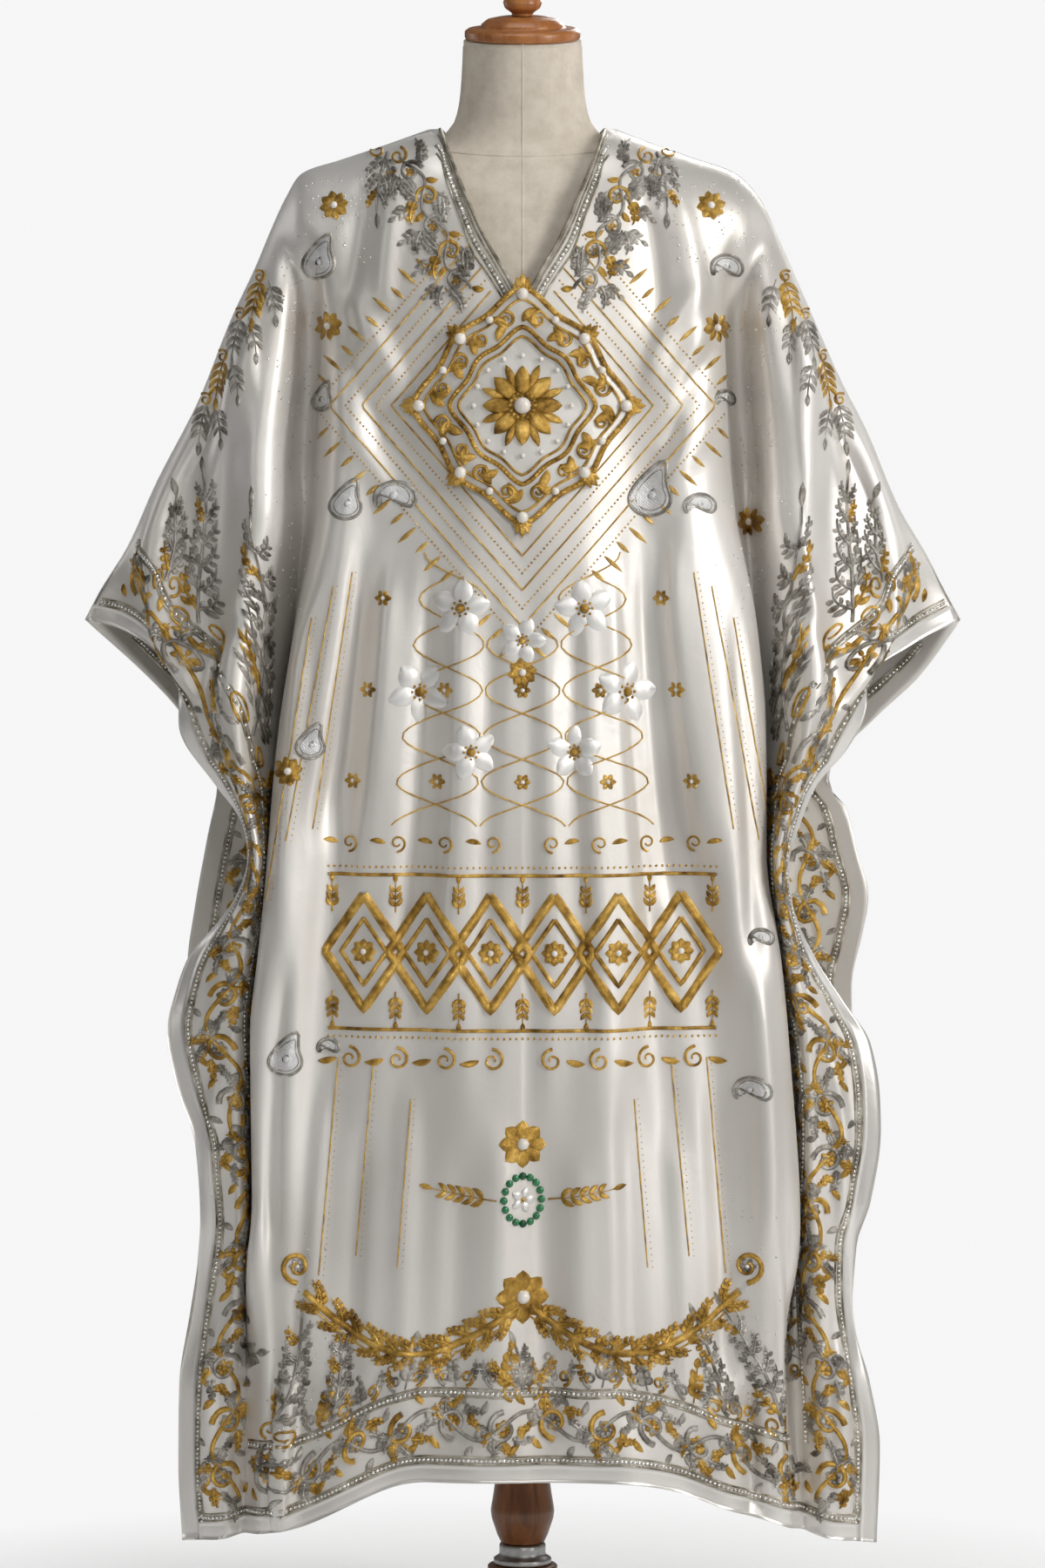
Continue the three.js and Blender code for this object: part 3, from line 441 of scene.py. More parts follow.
def column(table, key, z):
    up = table[::-1]
    return smooth([r["z"] for r in up], [r[key] for r in up], z)


def side_name(side):
    return "left" if side < 0 else "right"


def top_line(side, u):
    t = TOP_LINE[side_name(side)]
    out, z = np.array([r["out"] for r in t]), np.array([r["z"] for r in t])
    along = np.concatenate([[0], np.cumsum(np.hypot(np.diff(out), np.diff(z)))])
    neck = NECK_HALF / (NECK_HALF + along[-1])
    s = np.maximum(0, (u - neck) / (1 - neck)) * along[-1]
    return smooth(along, out, s), smooth(along, z, s), neck


def base_section(is_front, side, z, z_edge):
    name = side_name(side)
    table = FRONT[name]
    edge = EDGE[("front" if is_front else "back") + cap(name)]
    outs = [np.zeros_like(z)] + [column(table, "o" + cap(n), z) for n in NAMES[1:-1]] + [column(edge, "out", z_edge)]
    aways = [column(table, "f" + cap(n), z) for n in NAMES[:-1]]
    if not is_front:
        aways = [np.maximum(1.2, a * BACK_SHRINK) for a in aways]
    aways.append(column(edge, "away", z_edge))
    return np.array(outs), np.array(aways)


def panel_points(is_front, side, u, z, z_edge):
    """Points of the draped panel; the same surface as the solid model's."""
    outs, aways = base_section(is_front, side, z, z_edge)
    out, away = round_across(US, outs, u), round_across(US, aways, u)
    for f in (FRONT_FOLDS if is_front else BACK_FOLDS):
        if f["side"] != side:
            continue
        k = np.clip((f["zTop"] - z) / (f["zTop"] - f["zFoot"]), 0, 1)
        w = (u - (f["uTop"] + (f["uFoot"] - f["uTop"]) * k)) / f["half"]
        away = away + f["rise"] * np.minimum(1, k * 4) * np.exp(-w * w)
    t_out, t_z, neck = top_line(side, u)
    drop = np.maximum(0, np.where(u <= neck, NECK_TOP, t_z) - z)
    k = np.minimum(1, drop / (ROUND_FRONT if is_front else ROUND_BACK))
    turn = np.sqrt(np.maximum(0, 1 - (1 - k) ** 2))
    away = SEAM_GAP / 2 + np.maximum(SEAM_GAP / 2, away - SEAM_GAP / 2) * turn
    outs_t, _ = base_section(is_front, side, t_z, t_z)
    at_top = round_across(US, outs_t, u)
    q = np.minimum(1, drop / 150)
    out = out + np.where(u > neck, (t_out - at_top) * (1 - q * q * (3 - 2 * q)), 0)
    return np.stack([side * out, (-1 if is_front else 1) * away, z], -1)


def thread_top(is_front, side, u):
    _, t_z, neck = top_line(side, u)
    k = np.clip(u / neck, 0, 1)
    if is_front:
        v = V_POINT + (NECK_TOP - V_POINT) * (0.06 * k * k + 0.94 * k ** 1.08)
    else:
        v = BACK_NECK + (NECK_TOP - BACK_NECK) * k ** 2.4
    return np.where(u >= neck, t_z, v)


def thread_foot(is_front, side, u):
    row = HEM[side_name(side)]
    z = smooth(US, [row[n] for n in NAMES], u)
    return z if is_front else z + 6 * (1 - u)


def edge_height(is_front, side, share):
    table = EDGE[("front" if is_front else "back") + cap(side_name(side))]
    zs = np.arange(table[0]["z"], LEVEL, -3.0)
    o, a = column(table, "out", zs), column(table, "away", zs)
    along = np.concatenate([[0], np.cumsum(np.sqrt(np.diff(o) ** 2 + np.diff(a) ** 2 + 9))])
    return smooth(along, zs, np.array([share * along[-1]]))[0]


def row_heights(is_front, side, u):
    """Heights of the solid model's rows on each thread: (rows, threads)."""
    top, foot = thread_top(is_front, side, u), thread_foot(is_front, side, u)
    neck = top_line(side, u)[2]
    k = np.clip((neck + 0.03 - u) / 0.06, 0, 1)
    trim = (10 + 36 * k) if is_front else (10 + 12 * k)
    second = (28 + 34 * k) if is_front else (28 + 8 * k)
    start = top - second
    zs = [top, top - trim] + [start + (LEVEL - start) * r for r in ROWS_HIGH]
    w = np.maximum(0, (u - 0.56) / 0.44) ** 2
    for i in range(1, len(zs)):
        formula = 1069 if i == 1 else 1051 + (LEVEL - 1051) * ROWS_HIGH[i - 2]
        zs[i] = zs[i] + (edge_height(is_front, side, i / (len(zs) - 1)) - formula) * w
    last = foot + BAND_WIDTH + BRAID_WIDTH
    zs += [LEVEL + (last - LEVEL) * r for r in ROWS_LOW]
    zs += [foot + BAND_WIDTH, foot]
    return np.array(zs)


SUB_ROWS = [4, 3] + [8] * 19 + [3, 3]
SUB_COLS = [8, 8, 5, 3, 6, 7, 7, 7, 8, 6, 6, 6, 6, 7, 9, 9]
OUTER_COLS = 30
SUB_ROWS_BACK = [3, 2] + [5] * 19 + [2, 2]
# the back and the inner faces are stitched with plainer leaves
PLAIN = {"on": False}


def crease_field(table, x, z):
    total = np.zeros_like(x)
    for c in table:
        dx, dz = c["x1"] - c["x0"], c["z1"] - c["z0"]
        length = math.hypot(dx, dz)
        t = ((x - c["x0"]) * dx + (z - c["z0"]) * dz) / (length * length)
        lat = ((x - c["x0"]) * dz - (z - c["z0"]) * dx) / length
        tc = np.clip(t, 0, 1)
        lat = lat - c["bow"] * np.sin(math.pi * tc)
        fade = np.clip(t / 0.25, 0, 1) * np.clip((1 - t) / 0.2, 0, 1)
        fade = fade * fade * (3 - 2 * fade)
        total += 2.1 * c["rise"] * fade * np.exp(-(lat / (c["half"] * (0.75 + 0.5 * tc))) ** 2)
    return total


def grid_normals(P, is_front):
    a = np.gradient(P, axis=1)
    b = np.gradient(P, axis=0)
    n = np.cross(a, b)
    n /= np.maximum(1e-9, np.linalg.norm(n, axis=-1, keepdims=True))
    return n if not is_front else -n


def soften(F, times=1):
    for _ in range(times):
        G = F.copy()
        G[1:-1] = (F[:-2] + 2 * F[1:-1] + F[2:]) / 4
        F = G.copy()
        F[:, 1:-1] = (G[:, :-2] + 2 * G[:, 1:-1] + G[:, 2:]) / 4
    return F


class Panel:
    """Fine draped surface with its distance from the free edge (D), along the edge (S) and up from the hem (H)."""

    def __init__(self, is_front):
        self.is_front = is_front
        frac = []
        for i, n in enumerate(SUB_ROWS if is_front else SUB_ROWS_BACK):
            frac += [i + k / n for k in range(n)]
        frac = np.array(frac + [float(len(SUB_ROWS))])
        halves = []
        for side in (-1, 1):
            us = []
            for i, n in enumerate(SUB_COLS):
                us += [HALF_COLUMNS[i] + (HALF_COLUMNS[i + 1] - HALF_COLUMNS[i]) * k / n for k in range(n)]
            us = np.array(us)
            outer = np.linspace(HALF_COLUMNS[-1], 1, 90)
            allu = np.concatenate([us, outer])
            R = row_heights(is_front, side, allu)
            i0 = np.minimum(frac.astype(int), R.shape[0] - 2)
            t = (frac - i0)[:, None]
            Z = R[i0] * (1 - t) + R[i0 + 1] * t
            ZE = Z[:, -1:] * np.ones_like(Z)
            full = panel_points(is_front, side, np.tile(allu, len(frac)), Z.ravel(), ZE.ravel()).reshape(len(frac), len(allu), 3)
            inner, out = full[:, :len(us)], full[:, len(us):]
            # even spacing of the outer columns by length
            seg = np.linalg.norm(np.diff(out, axis=1), axis=2)
            L = np.concatenate([np.zeros((len(frac), 1)), np.cumsum(seg, axis=1)], axis=1)
            res = np.empty((len(frac), OUTER_COLS + 1, 3))
            for r in range(len(frac)):
                s = np.linspace(0, L[r, -1], OUTER_COLS + 1)
                for c in range(3):
                    res[r, :, c] = np.interp(s, L[r], out[r, :, c])
            halves.append(np.concatenate([inner, res], axis=1))
        P = np.concatenate([halves[0][:, :0:-1], halves[1]], axis=1)
        self.mid = halves[0].shape[1] - 1
        N = grid_normals(P, is_front)
        field = crease_field(FRONT_CREASES if is_front else BACK_CREASES, P[..., 0], P[..., 2])
        # creases die out at the sewn top line
        top_fade = np.clip((np.arange(P.shape[0]) - 4) / 10, 0, 1)[:, None]
        P = P + N * (field * top_fade)[..., None]
        # small uneven pull of the cloth
        X, Z = P[..., 0], P[..., 2]
        ripple = 0.8 * np.sin(X / 23 + 1.3 * np.sin(Z / 140)) * np.sin(Z / 95 + X / 160) + 0.5 * np.sin(X / 11 + Z / 60 + 2 * np.sin(Z / 210))
        P = P + N * (ripple * top_fade)[..., None]
        inner = soften(P, 2)
        P[1:-1, 1:-1] = inner[1:-1, 1:-1]
        lo = SEAM_GAP / 2 + WALL / 2
        P[..., 1] = np.minimum(P[..., 1], -lo * 0.2) if is_front else np.maximum(P[..., 1], lo * 0.2)
        self.P, self.N = P, soften(grid_normals(P, is_front), 1)
        self.N /= np.linalg.norm(self.N, axis=-1, keepdims=True)
        rows_n, cols_n = P.shape[:2]
        seg = np.linalg.norm(np.diff(P, axis=1), axis=2)
        cum = np.concatenate([np.zeros((rows_n, 1)), np.cumsum(seg, axis=1)], axis=1)
        self.D = {-1: cum, 1: cum[:, -1:] - cum}
        segv = np.linalg.norm(np.diff(P, axis=0), axis=2)
        cv = np.concatenate([np.zeros((1, cols_n)), np.cumsum(segv, axis=0)], axis=0)
        self.H = cv[-1:] - cv
        self.S = {-1: cv[:, 0], 1: cv[:, -1]}
        hs = np.linalg.norm(np.diff(P[-1], axis=0), axis=1)
        self.hem = np.concatenate([[0], np.cumsum(hs)])
        self.tree = BVHTree.FromPolygons([tuple(p) for p in P.reshape(-1, 3)], self.quads().tolist())

    def quads(self):
        r, c = self.P.shape[:2]
        i = np.arange(r * c).reshape(r, c)
        a, b, cc, d = i[:-1, :-1], i[1:, :-1], i[1:, 1:], i[:-1, 1:]
        q = np.stack([a, b, cc, d], -1).reshape(-1, 4)
        return q if self.is_front else q[:, ::-1]

    def at(self, fi, fj):
        """Bilinear point and normal at float row and column arrays."""
        P, N = self.P, self.N
        fi, fj = np.clip(fi, 0, P.shape[0] - 1.001), np.clip(fj, 0, P.shape[1] - 1.001)
        i, j = fi.astype(int), fj.astype(int)
        a, b = (fi - i)[:, None], (fj - j)[:, None]
        mix = lambda F: (F[i, j] * (1 - a) * (1 - b) + F[i + 1, j] * a * (1 - b) + F[i, j + 1] * (1 - a) * b + F[i + 1, j + 1] * a * b)
        n = mix(N)
        return mix(P), n / np.maximum(1e-9, np.linalg.norm(n, axis=1, keepdims=True))

    def on_side(self, side, s, d):
        """Point by length along the free side edge from the sleeve tip, and distance in from it."""
        s, d = np.atleast_1d(np.asarray(s, float)), np.atleast_1d(np.asarray(d, float))
        rows_n = self.P.shape[0]
        fi = np.interp(s, self.S[side], np.arange(rows_n))
        i0 = np.minimum(fi.astype(int), rows_n - 2)
        t = fi - i0
        D = self.D[side]
        fj = np.empty(len(s))
        cols = np.arange(self.P.shape[1])
        for n in range(len(s)):
            row = D[i0[n]] * (1 - t[n]) + D[i0[n] + 1] * t[n]
            fj[n] = np.interp(d[n], row, cols) if side < 0 else np.interp(-d[n], -row, cols)
        return self.at(fi, fj)

    def on_hem(self, s, h):
        """Point by length along the hem from the left corner, and distance up from it."""
        s, h = np.atleast_1d(np.asarray(s, float)), np.atleast_1d(np.asarray(h, float))
        cols_n, rows_n = self.P.shape[1], self.P.shape[0]
        fj = np.interp(s, self.hem, np.arange(cols_n))
        j0 = np.minimum(fj.astype(int), cols_n - 2)
        t = fj - j0
        fi = np.empty(len(s))
        r = np.arange(rows_n)
        for n in range(len(s)):
            col = self.H[:, j0[n]] * (1 - t[n]) + self.H[:, j0[n] + 1] * t[n]
            fi[n] = np.interp(-h[n], -col, r)
        return self.at(fi, fj)

    def seen(self, x, z):
        """Points under positions seen straight from the front (or from behind, on the back)."""
        y0 = -900.0 if self.is_front else 900.0
        dy = 1.0 if self.is_front else -1.0
        x, z = np.atleast_1d(x), np.atleast_1d(z)
        P, N = np.empty((len(x), 3)), np.empty((len(x), 3))
        last = None
        for n in range(len(x)):
            hit, nor, idx, _ = self.tree.ray_cast(Vector((x[n], y0, z[n])), Vector((0, dy, 0)))
            if hit is None:
                near, nor, idx, _ = self.tree.find_nearest(Vector((x[n], y0 * 0.13, z[n])))
                hit = near
            r, c = divmod(idx, self.P.shape[1] - 1)
            nn = (self.N[r, c] + self.N[r + 1, c] + self.N[r, c + 1] + self.N[r + 1, c + 1])
            P[n], N[n] = hit, nn / np.linalg.norm(nn)
        return P, N


# ------------------------------------------------------------------ mesh helpers
def new_object(name, verts_mm, faces, material, smooth_shade=True):
    mesh = bpy.data.meshes.new(name)
    mesh.from_pydata((np.asarray(verts_mm) * 0.001).tolist(), [], [list(f) for f in faces])
    mesh.validate()
    obj = bpy.data.objects.new(name, mesh)
    bpy.context.scene.collection.objects.link(obj)
    if smooth_shade:
        mesh.polygons.foreach_set("use_smooth", [True] * len(mesh.polygons))
    mesh.materials.append(material)
    return obj


def sheet_shell(name, P, N, lo, hi, is_front, material):
    """Closed thin shell on a grid of points, between two distances along the normals."""
    r, c = P.shape[:2]
    V = np.concatenate([(P + N * hi).reshape(-1, 3), (P + N * lo).reshape(-1, 3)])
    lim = SEAM_GAP / 2
    V[:, 1] = np.minimum(V[:, 1], -lim) if is_front else np.maximum(V[:, 1], lim)
    i = np.arange(r * c).reshape(r, c)
    top = np.stack([i[:-1, :-1], i[1:, :-1], i[1:, 1:], i[:-1, 1:]], -1).reshape(-1, 4)
    if not is_front:
        top = top[:, ::-1]
    low = top[:, ::-1] + r * c
    ring = np.concatenate([i[0, :], i[1:, -1], i[-1, -2::-1], i[-2:0:-1, 0]])
    nxt = np.roll(ring, -1)
    wall = np.stack([ring, nxt, nxt + r * c, ring + r * c], -1)
    if not is_front:
        wall = wall[:, ::-1]
    return new_object(name, V, np.concatenate([top, low, wall]).tolist(), material)


class Stitch:
    """Collects ribbons, leaves and beads, then makes one joined mesh."""

    def __init__(self):
        self.v, self.f, self.n = [], [], 0

    def add(self, verts, faces):
        self.v.append(verts)
        self.f.append(np.asarray(faces) + self.n)
        self.n += len(verts)

    def ribbon(self, P, N, half, height, sink=0.4, profile=((-1, 0), (-0.5, 0.95), (0.5, 0.95), (1, 0))):
        """Domed cord along P: half width and height may vary along it."""
        n = len(P)
        if n < 2:
            return
        T = np.gradient(P, axis=0)
        T /= np.maximum(1e-9, np.linalg.norm(T, axis=1, keepdims=True))
        W = np.cross(N, T)
        W /= np.maximum(1e-9, np.linalg.norm(W, axis=1, keepdims=True))
        half = np.broadcast_to(np.asarray(half, float), (n,))[:, None]
        height = np.broadcast_to(np.asarray(height, float), (n,))[:, None]
        cols = [P + W * half * a + N * (height * b - sink * (1 if b == 0 else 0) + 0.75) for a, b in profile]
        m = len(profile)
        V = np.stack(cols, 1).reshape(-1, 3)
        i = np.arange(n * m).reshape(n, m)
        F = np.stack([i[:-1, :-1], i[1:, :-1], i[1:, 1:], i[:-1, 1:]], -1).reshape(-1, 4)
        self.add(V, F)

    def bead(self, P, N, r, squash=0.8, sides=7):
        """Half-round beads at every point."""
        P, N = np.atleast_2d(P), np.atleast_2d(N)
        ref = np.where(np.abs(N[:, 2:3]) < 0.9, np.array([[0, 0, 1.0]]), np.array([[1.0, 0, 0]]))
        A = np.cross(ref, N)
        A /= np.linalg.norm(A, axis=1, keepdims=True)
        B = np.cross(N, A)
        r = np.broadcast_to(np.asarray(r, float), (len(P),))[:, None, None]
        ang = 2 * np.pi * np.arange(sides) / sides
        rings = [(1.0, -0.15), (0.9, 0.5), (0.5, 0.9)]
        V = []
        for q, h in rings:
            V.append(P[:, None] + r * (q * (np.cos(ang)[None, :, None] * A[:, None] + np.sin(ang)[None, :, None] * B[:, None]) + squash * h * N[:, None]) + 0.75 * N[:, None])
        V.append((P + r[:, 0] * squash * N + 0.75 * N)[:, None])
        V = np.concatenate(V, 1)
        m = 3 * sides + 1
        k = np.arange(sides)
        q1 = np.stack([k, (k + 1) % sides, sides + (k + 1) % sides, sides + k], -1)
        q2 = q1 + sides
        tri = np.stack([2 * sides + k, 2 * sides + (k + 1) % sides, np.full(sides, 3 * sides), np.full(sides, 3 * sides)], -1)
        F = np.concatenate([q1, q2, tri])
        base = (np.arange(len(P)) * m)[:, None, None]
        self.add(V.reshape(-1, 3), (F[None] + base).reshape(-1, 4))

    def build(self, name, material):
        V = np.concatenate(self.v)
        F = np.concatenate(self.f)
        faces = [list(dict.fromkeys(f)) for f in F.tolist()]
        return new_object(name, V, faces, material)


# ---- motifs, drawn in a flat frame (a, b) in mm and laid on the cloth by place(a, b)
def cord(st, place, a, b, half=0.8, height=0.9, step=None):
    P, N = place(np.asarray(a, float), np.asarray(b, float))
    st.ribbon(P, N, half, height)


LEAF_PROFILE = ((-1, 0), (-0.55, 0.95), (0, 0.62), (0.55, 0.95), (1, 0))
PLAIN_LEAF = ((-1, 0), (0, 0.9), (1, 0))


def leaf(st, place, a, b, angle, length, width, height=1.5, bend=0.25, n=7):
    """One leaf from (a, b) along angle (radians), curving sideways."""
    if PLAIN["on"]:
        n = 4
    t = np.linspace(0, 1, n)
    ang = angle + bend * (t - 0.2) * 2
    da = np.concatenate([[0], np.cumsum(np.cos(ang[:-1]))]) * length / (n - 1)
    db = np.concatenate([[0], np.cumsum(np.sin(ang[:-1]))]) * length / (n - 1)
    P, N = place(a + da, b + db)
    w = 1.22 * width * np.sin(np.pi * np.clip(t * 0.93 + 0.05, 0, 1)) ** 0.8
    w[-1] = 0.15
    st.ribbon(P, N, w, height * (0.35 + 0.65 * np.sin(np.pi * np.clip(t + 0.05, 0, 1))), profile=PLAIN_LEAF if PLAIN["on"] else LEAF_PROFILE)


def spiral(st, place, a, b, r0, r1, start, turns, half=1.6, height=1.7, hand=1, n=26):
    """Tapering curl about (a, b)."""
    if PLAIN["on"]:
        n = max(10, int(n * 0.6))
    t = np.linspace(0, 1, n)
    r = r0 + (r1 - r0) * t ** 0.85
    ang = start + hand * 2 * np.pi * turns * t
    P, N = place(a + r * np.cos(ang), b + r * np.sin(ang))
    st.ribbon(P, N, half * (1 - 0.45 * t), height * (1 - 0.3 * t))
    return a + r[0] * math.cos(start), b + r[0] * math.sin(start)


def rosette(st_petal, st_heart, place, a, b, r, petals=6, turn=0.0, height=2.0):
    for k in range(petals):
        ang = turn + 2 * np.pi * k / petals
        leaf(st_petal, place, a + 0.22 * r * math.cos(ang), b + 0.22 * r * math.sin(ang), ang, 0.78 * r, 0.30 * r, height, bend=0.0, n=6)
    P, N = place(np.array([a]), np.array([b]))
    st_heart.bead(P, N, r * 0.28, squash=1.0)


def acanthus(st, place, a, b, angle, length, hand=1, lobes=5, width=5.5, height=2.1, curl=1.1):
    """Scrolling leaf: a bending spine with lobes on both sides that lean to its tip."""
    n = 12
    t = np.linspace(0, 1, n)
    ang = angle + hand * curl * t ** 1.5
    da = np.concatenate([[0], np.cumsum(np.cos(ang[:-1]))]) * length / (n - 1)
    db = np.concatenate([[0], np.cumsum(np.sin(ang[:-1]))]) * length / (n - 1)
    P, N = place(a + da, b + db)
    st.ribbon(P, N, width * 0.36 * (1 - 0.75 * t), height * 1.05)
    for k in range(lobes):
        f = 0.12 + 0.8 * k / lobes
        i = f * (n - 1)
        x, y, g = np.interp(i, np.arange(n), a + da), np.interp(i, np.arange(n), b + db), np.interp(i, np.arange(n), ang)
        size = length * 0.30 * (1 - 0.45 * f)
        leaf(st, place, x, y, g - hand * 0.85, size * 1.2, width * 0.50 * (1 - 0.3 * f), height, bend=0.45 * hand, n=5)
        leaf(st, place, x, y, g + hand * 0.65, size * 0.9, width * 0.44 * (1 - 0.3 * f), height, bend=-0.35 * hand, n=5)


def sprig(st, place, a, b, angle, length, pairs=4, leaf_len=13, leaf_w=2.8, bend=0.2, height=1.6, tip=True):
    n = 9
    t = np.linspace(0, 1, n)
    ang = angle + bend * t
    da = np.concatenate([[0], np.cumsum(np.cos(ang[:-1]))]) * length / (n - 1)
    db = np.concatenate([[0], np.cumsum(np.sin(ang[:-1]))]) * length / (n - 1)
    P, N = place(a + da, b + db)
    st.ribbon(P, N, 1.0 * (1 - 0.5 * t), 1.3)
    for k in range(pairs):
        f = 0.2 + 0.72 * k / pairs
        i = f * (n - 1)
        x, y, g = np.interp(i, np.arange(n), a + da), np.interp(i, np.arange(n), b + db), np.interp(i, np.arange(n), ang)
        s = leaf_len * (1 - 0.35 * f)
        leaf(st, place, x, y, g - 0.75, s, leaf_w * (1 - 0.25 * f), height, bend=0.35, n=5)
        leaf(st, place, x, y, g + 0.75, s, leaf_w * (1 - 0.25 * f), height, bend=-0.35, n=5)
    if tip:
        leaf(st, place, a + da[-1], b + db[-1], ang[-1], leaf_len * 0.8, leaf_w * 0.9, height, bend=0, n=5)


# ------------------------------------------------------------------ layouts of the embroidery
def side_place(panel, side):
    return lambda a, b: panel.on_side(side, a, b)


def hem_place(panel):
    return lambda a, b: panel.on_hem(a, b)


def seen_place(panel, mirror=1, lift=0.0):
    def place(a, b):
        P, N = panel.seen(mirror * np.asarray(a, float), np.asarray(b, float))
        return P + N * lift, N
    return place


def edge_trim(st_cord, st_bead, place, start, end, d, width, step=6.0, beads=True):
    """Braid along an edge: a cord on each side and a row of beads between."""
    n = max(3, int((end - start) / step))
    s = np.linspace(start, end, n)
    for q in (0.14, 0.86):
        P, N = place(s, np.full(n, d + width * q))
        st_cord.ribbon(P, N, width * 0.13, 1.25)
    P, N = place(s, np.full(n, d + width * 0.5))
    st_cord.ribbon(P, N, width * 0.22, 0.7)
    if beads:
        m = max(3, int((end - start) / (width * 0.46)))
        sb = np.linspace(start + 1, end - 1, m)
        P, N = place(sb, np.full(m, d + width * 0.5))
        st_bead.bead(P + N * 0.4, N, width * 0.2, squash=0.85, sides=5 if PLAIN["on"] else 6)


def scroll_border(gold, silver, pearl, place, start, end, lo=32.0, hi=85.0, repeat=112.0, phase=0):
    """Running scroll: a waving stem, a broad curl and a flower in each wave, lobed leaves filling the corners."""
    units = max(1, round((end - start) / repeat))
    L = (end - start) / units
    mid, amp = (lo + hi) / 2, (hi - lo) * 0.27
    n = units * 24
    s = np.linspace(start, end, n)
    P, N = place(s, mid + amp * np.cos(2 * np.pi * (s - start) / L))
    (gold if phase == 0 else silver).ribbon(P, N, 2.6, 2.4)
    for k in range(2 * units):
        s0 = start + (k + 0.5) * L / 2
        up = 1 if k % 2 else -1
        main, other = (gold, silver) if (k // 2 + phase) % 2 == 0 else (silver, gold)
        c = mid - up * amp * 0.18
        r = (hi - lo) * 0.33
        # curl that leaves the stem and winds in
        spiral(main, place, s0, c, r, 3.0, math.pi * (0.5 if up > 0 else -0.5), 1.3, half=3.5, height=2.8, hand=up, n=24)
        rosette(other, pearl, place, s0, c, r * 0.56, petals=6, turn=0.3 * k, height=2.5)
        # lobed leaves outside the curl
        for g, q, size in ((2.25, 0.82, 0.21), (1.57, 0.92, 0.17), (0.8, 0.86, 0.21), (2.9, 0.74, 0.17), (0.2, 0.90, 0.17)):
            x, y = s0 + r * q * math.cos(g), c - up * r * q * math.sin(g)
            tone = main if size > 0.2 else other
            acanthus(tone, place, x, y, -up * (g - 0.55), L * size, hand=up, lobes=3, width=6.6, height=2.6, curl=1.0)
        acanthus(silver, place, s0 + L * 0.25, mid, math.pi * 0.20 * up, L * 0.21, hand=-up, lobes=4, width=6.4, height=2.5, curl=1.2)
        leaf(gold, place, s0 + L * 0.20, mid - up * 16, up * 1.9, 15, 3.6, 2.2, bend=-0.4 * up)
        leaf(silver, place, s0 + L * 0.28, mid + up * 17, -up * 1.9, 15, 3.6, 2.2, bend=0.4 * up)
        for dx, dy, g, ln in ((-0.16, -20, -0.6, 16), (-0.08, -23, 0.4, 15), (0.08, -23, 2.7, 15), (0.16, -20, -2.5, 16), (-0.22, 12, 1.0, 16), (0.20, 21, 2.2, 15)):
            leaf(gold if dx * up > 0 else silver, place, s0 + L * dx, mid + up * dy, g * up, ln, 3.2, 2.1, bend=0.35)


def spray_row(gold, silver, place, start, end, base, heights, step=44.0, k0=0):
    """Leafy sprays growing inward from the inner braid."""
    count = max(1, int((end - start) / step))
    for k in range(count):
        s = start + (k + 0.5) * (end - start) / count
        h = heights[(k + k0) % len(heights)]
        lead, other = (silver, gold) if (k + k0) % 4 else (gold, silver)
        lean = 0.25 * (1 if k % 2 else -1)
        sprig(lead, place, s, base, math.pi / 2 + lean, h, pairs=5 if h > 40 else 3, leaf_len=h * 0.40, leaf_w=4.4, bend=-0.5 * lean, height=2.4)
        spiral(other, place, s + 12, base + 9, 8.5, 2.2, -math.pi / 2, 1.15, half=2.2, height=2.3, hand=1, n=16)
        spiral(silver, place, s - 12, base + 9, 8.5, 2.2, -math.pi / 2, 1.15, half=2.2, height=2.3, hand=-1, n=16)
        acanthus(silver, place, s + 14, base + 6, 0.95, 24, hand=1, lobes=3, width=5.4, height=2.3, curl=0.8)
        acanthus(other, place, s - 14, base + 6, math.pi - 0.95, 24, hand=-1, lobes=3, width=5.4, height=2.3, curl=0.8)


def tall_spray(gold, silver, pearl, place, a, b, angle, length, hand=1):
    """Large plume of lobed leaves with curls at its foot."""
    n = 16
    t = np.linspace(0, 1, n)
    ang = angle + hand * 0.35 * t
    da = np.concatenate([[0], np.cumsum(np.cos(ang[:-1]))]) * length / (n - 1)
    db = np.concatenate([[0], np.cumsum(np.sin(ang[:-1]))]) * length / (n - 1)
    P, N = place(a + da, b + db)
    silver.ribbon(P, N, 2.6 * (1 - 0.6 * t), 2.6)
    pairs = max(3, int(length / 21))
    for k in range(pairs):
        f = 0.10 + 0.84 * k / pairs
        i = f * (n - 1)
        x, y, g = np.interp(i, np.arange(n), a + da), np.interp(i, np.arange(n), b + db), np.interp(i, np.arange(n), ang)
        size = (36 - 17 * f) * min(1.0, 0.55 + length / 250)
        acanthus(silver, place, x, y, g - 0.80, size, hand=1, lobes=3, width=6.6 - 2.2 * f, height=2.5, curl=0.9)
        acanthus(silver if (k + int(length)) % 4 else gold, place, x, y, g + 0.80, size, hand=-1, lobes=3, width=6.6 - 2.2 * f, height=2.5, curl=0.9)
    leaf(silver, place, a + da[-1], b + db[-1], ang[-1], 17, 3.2, 2.0, bend=0)
    spiral(gold, place, a + 11 * math.sin(angle), b - 11 * math.cos(angle), 10, 2.4, angle + math.pi, 1.2, half=2.0, height=2.2, hand=1, n=20)
    spiral(gold, place, a - 11 * math.sin(angle), b + 11 * math.cos(angle), 10, 2.4, angle + math.pi, 1.2, half=2.0, height=2.2, hand=-1, n=20)


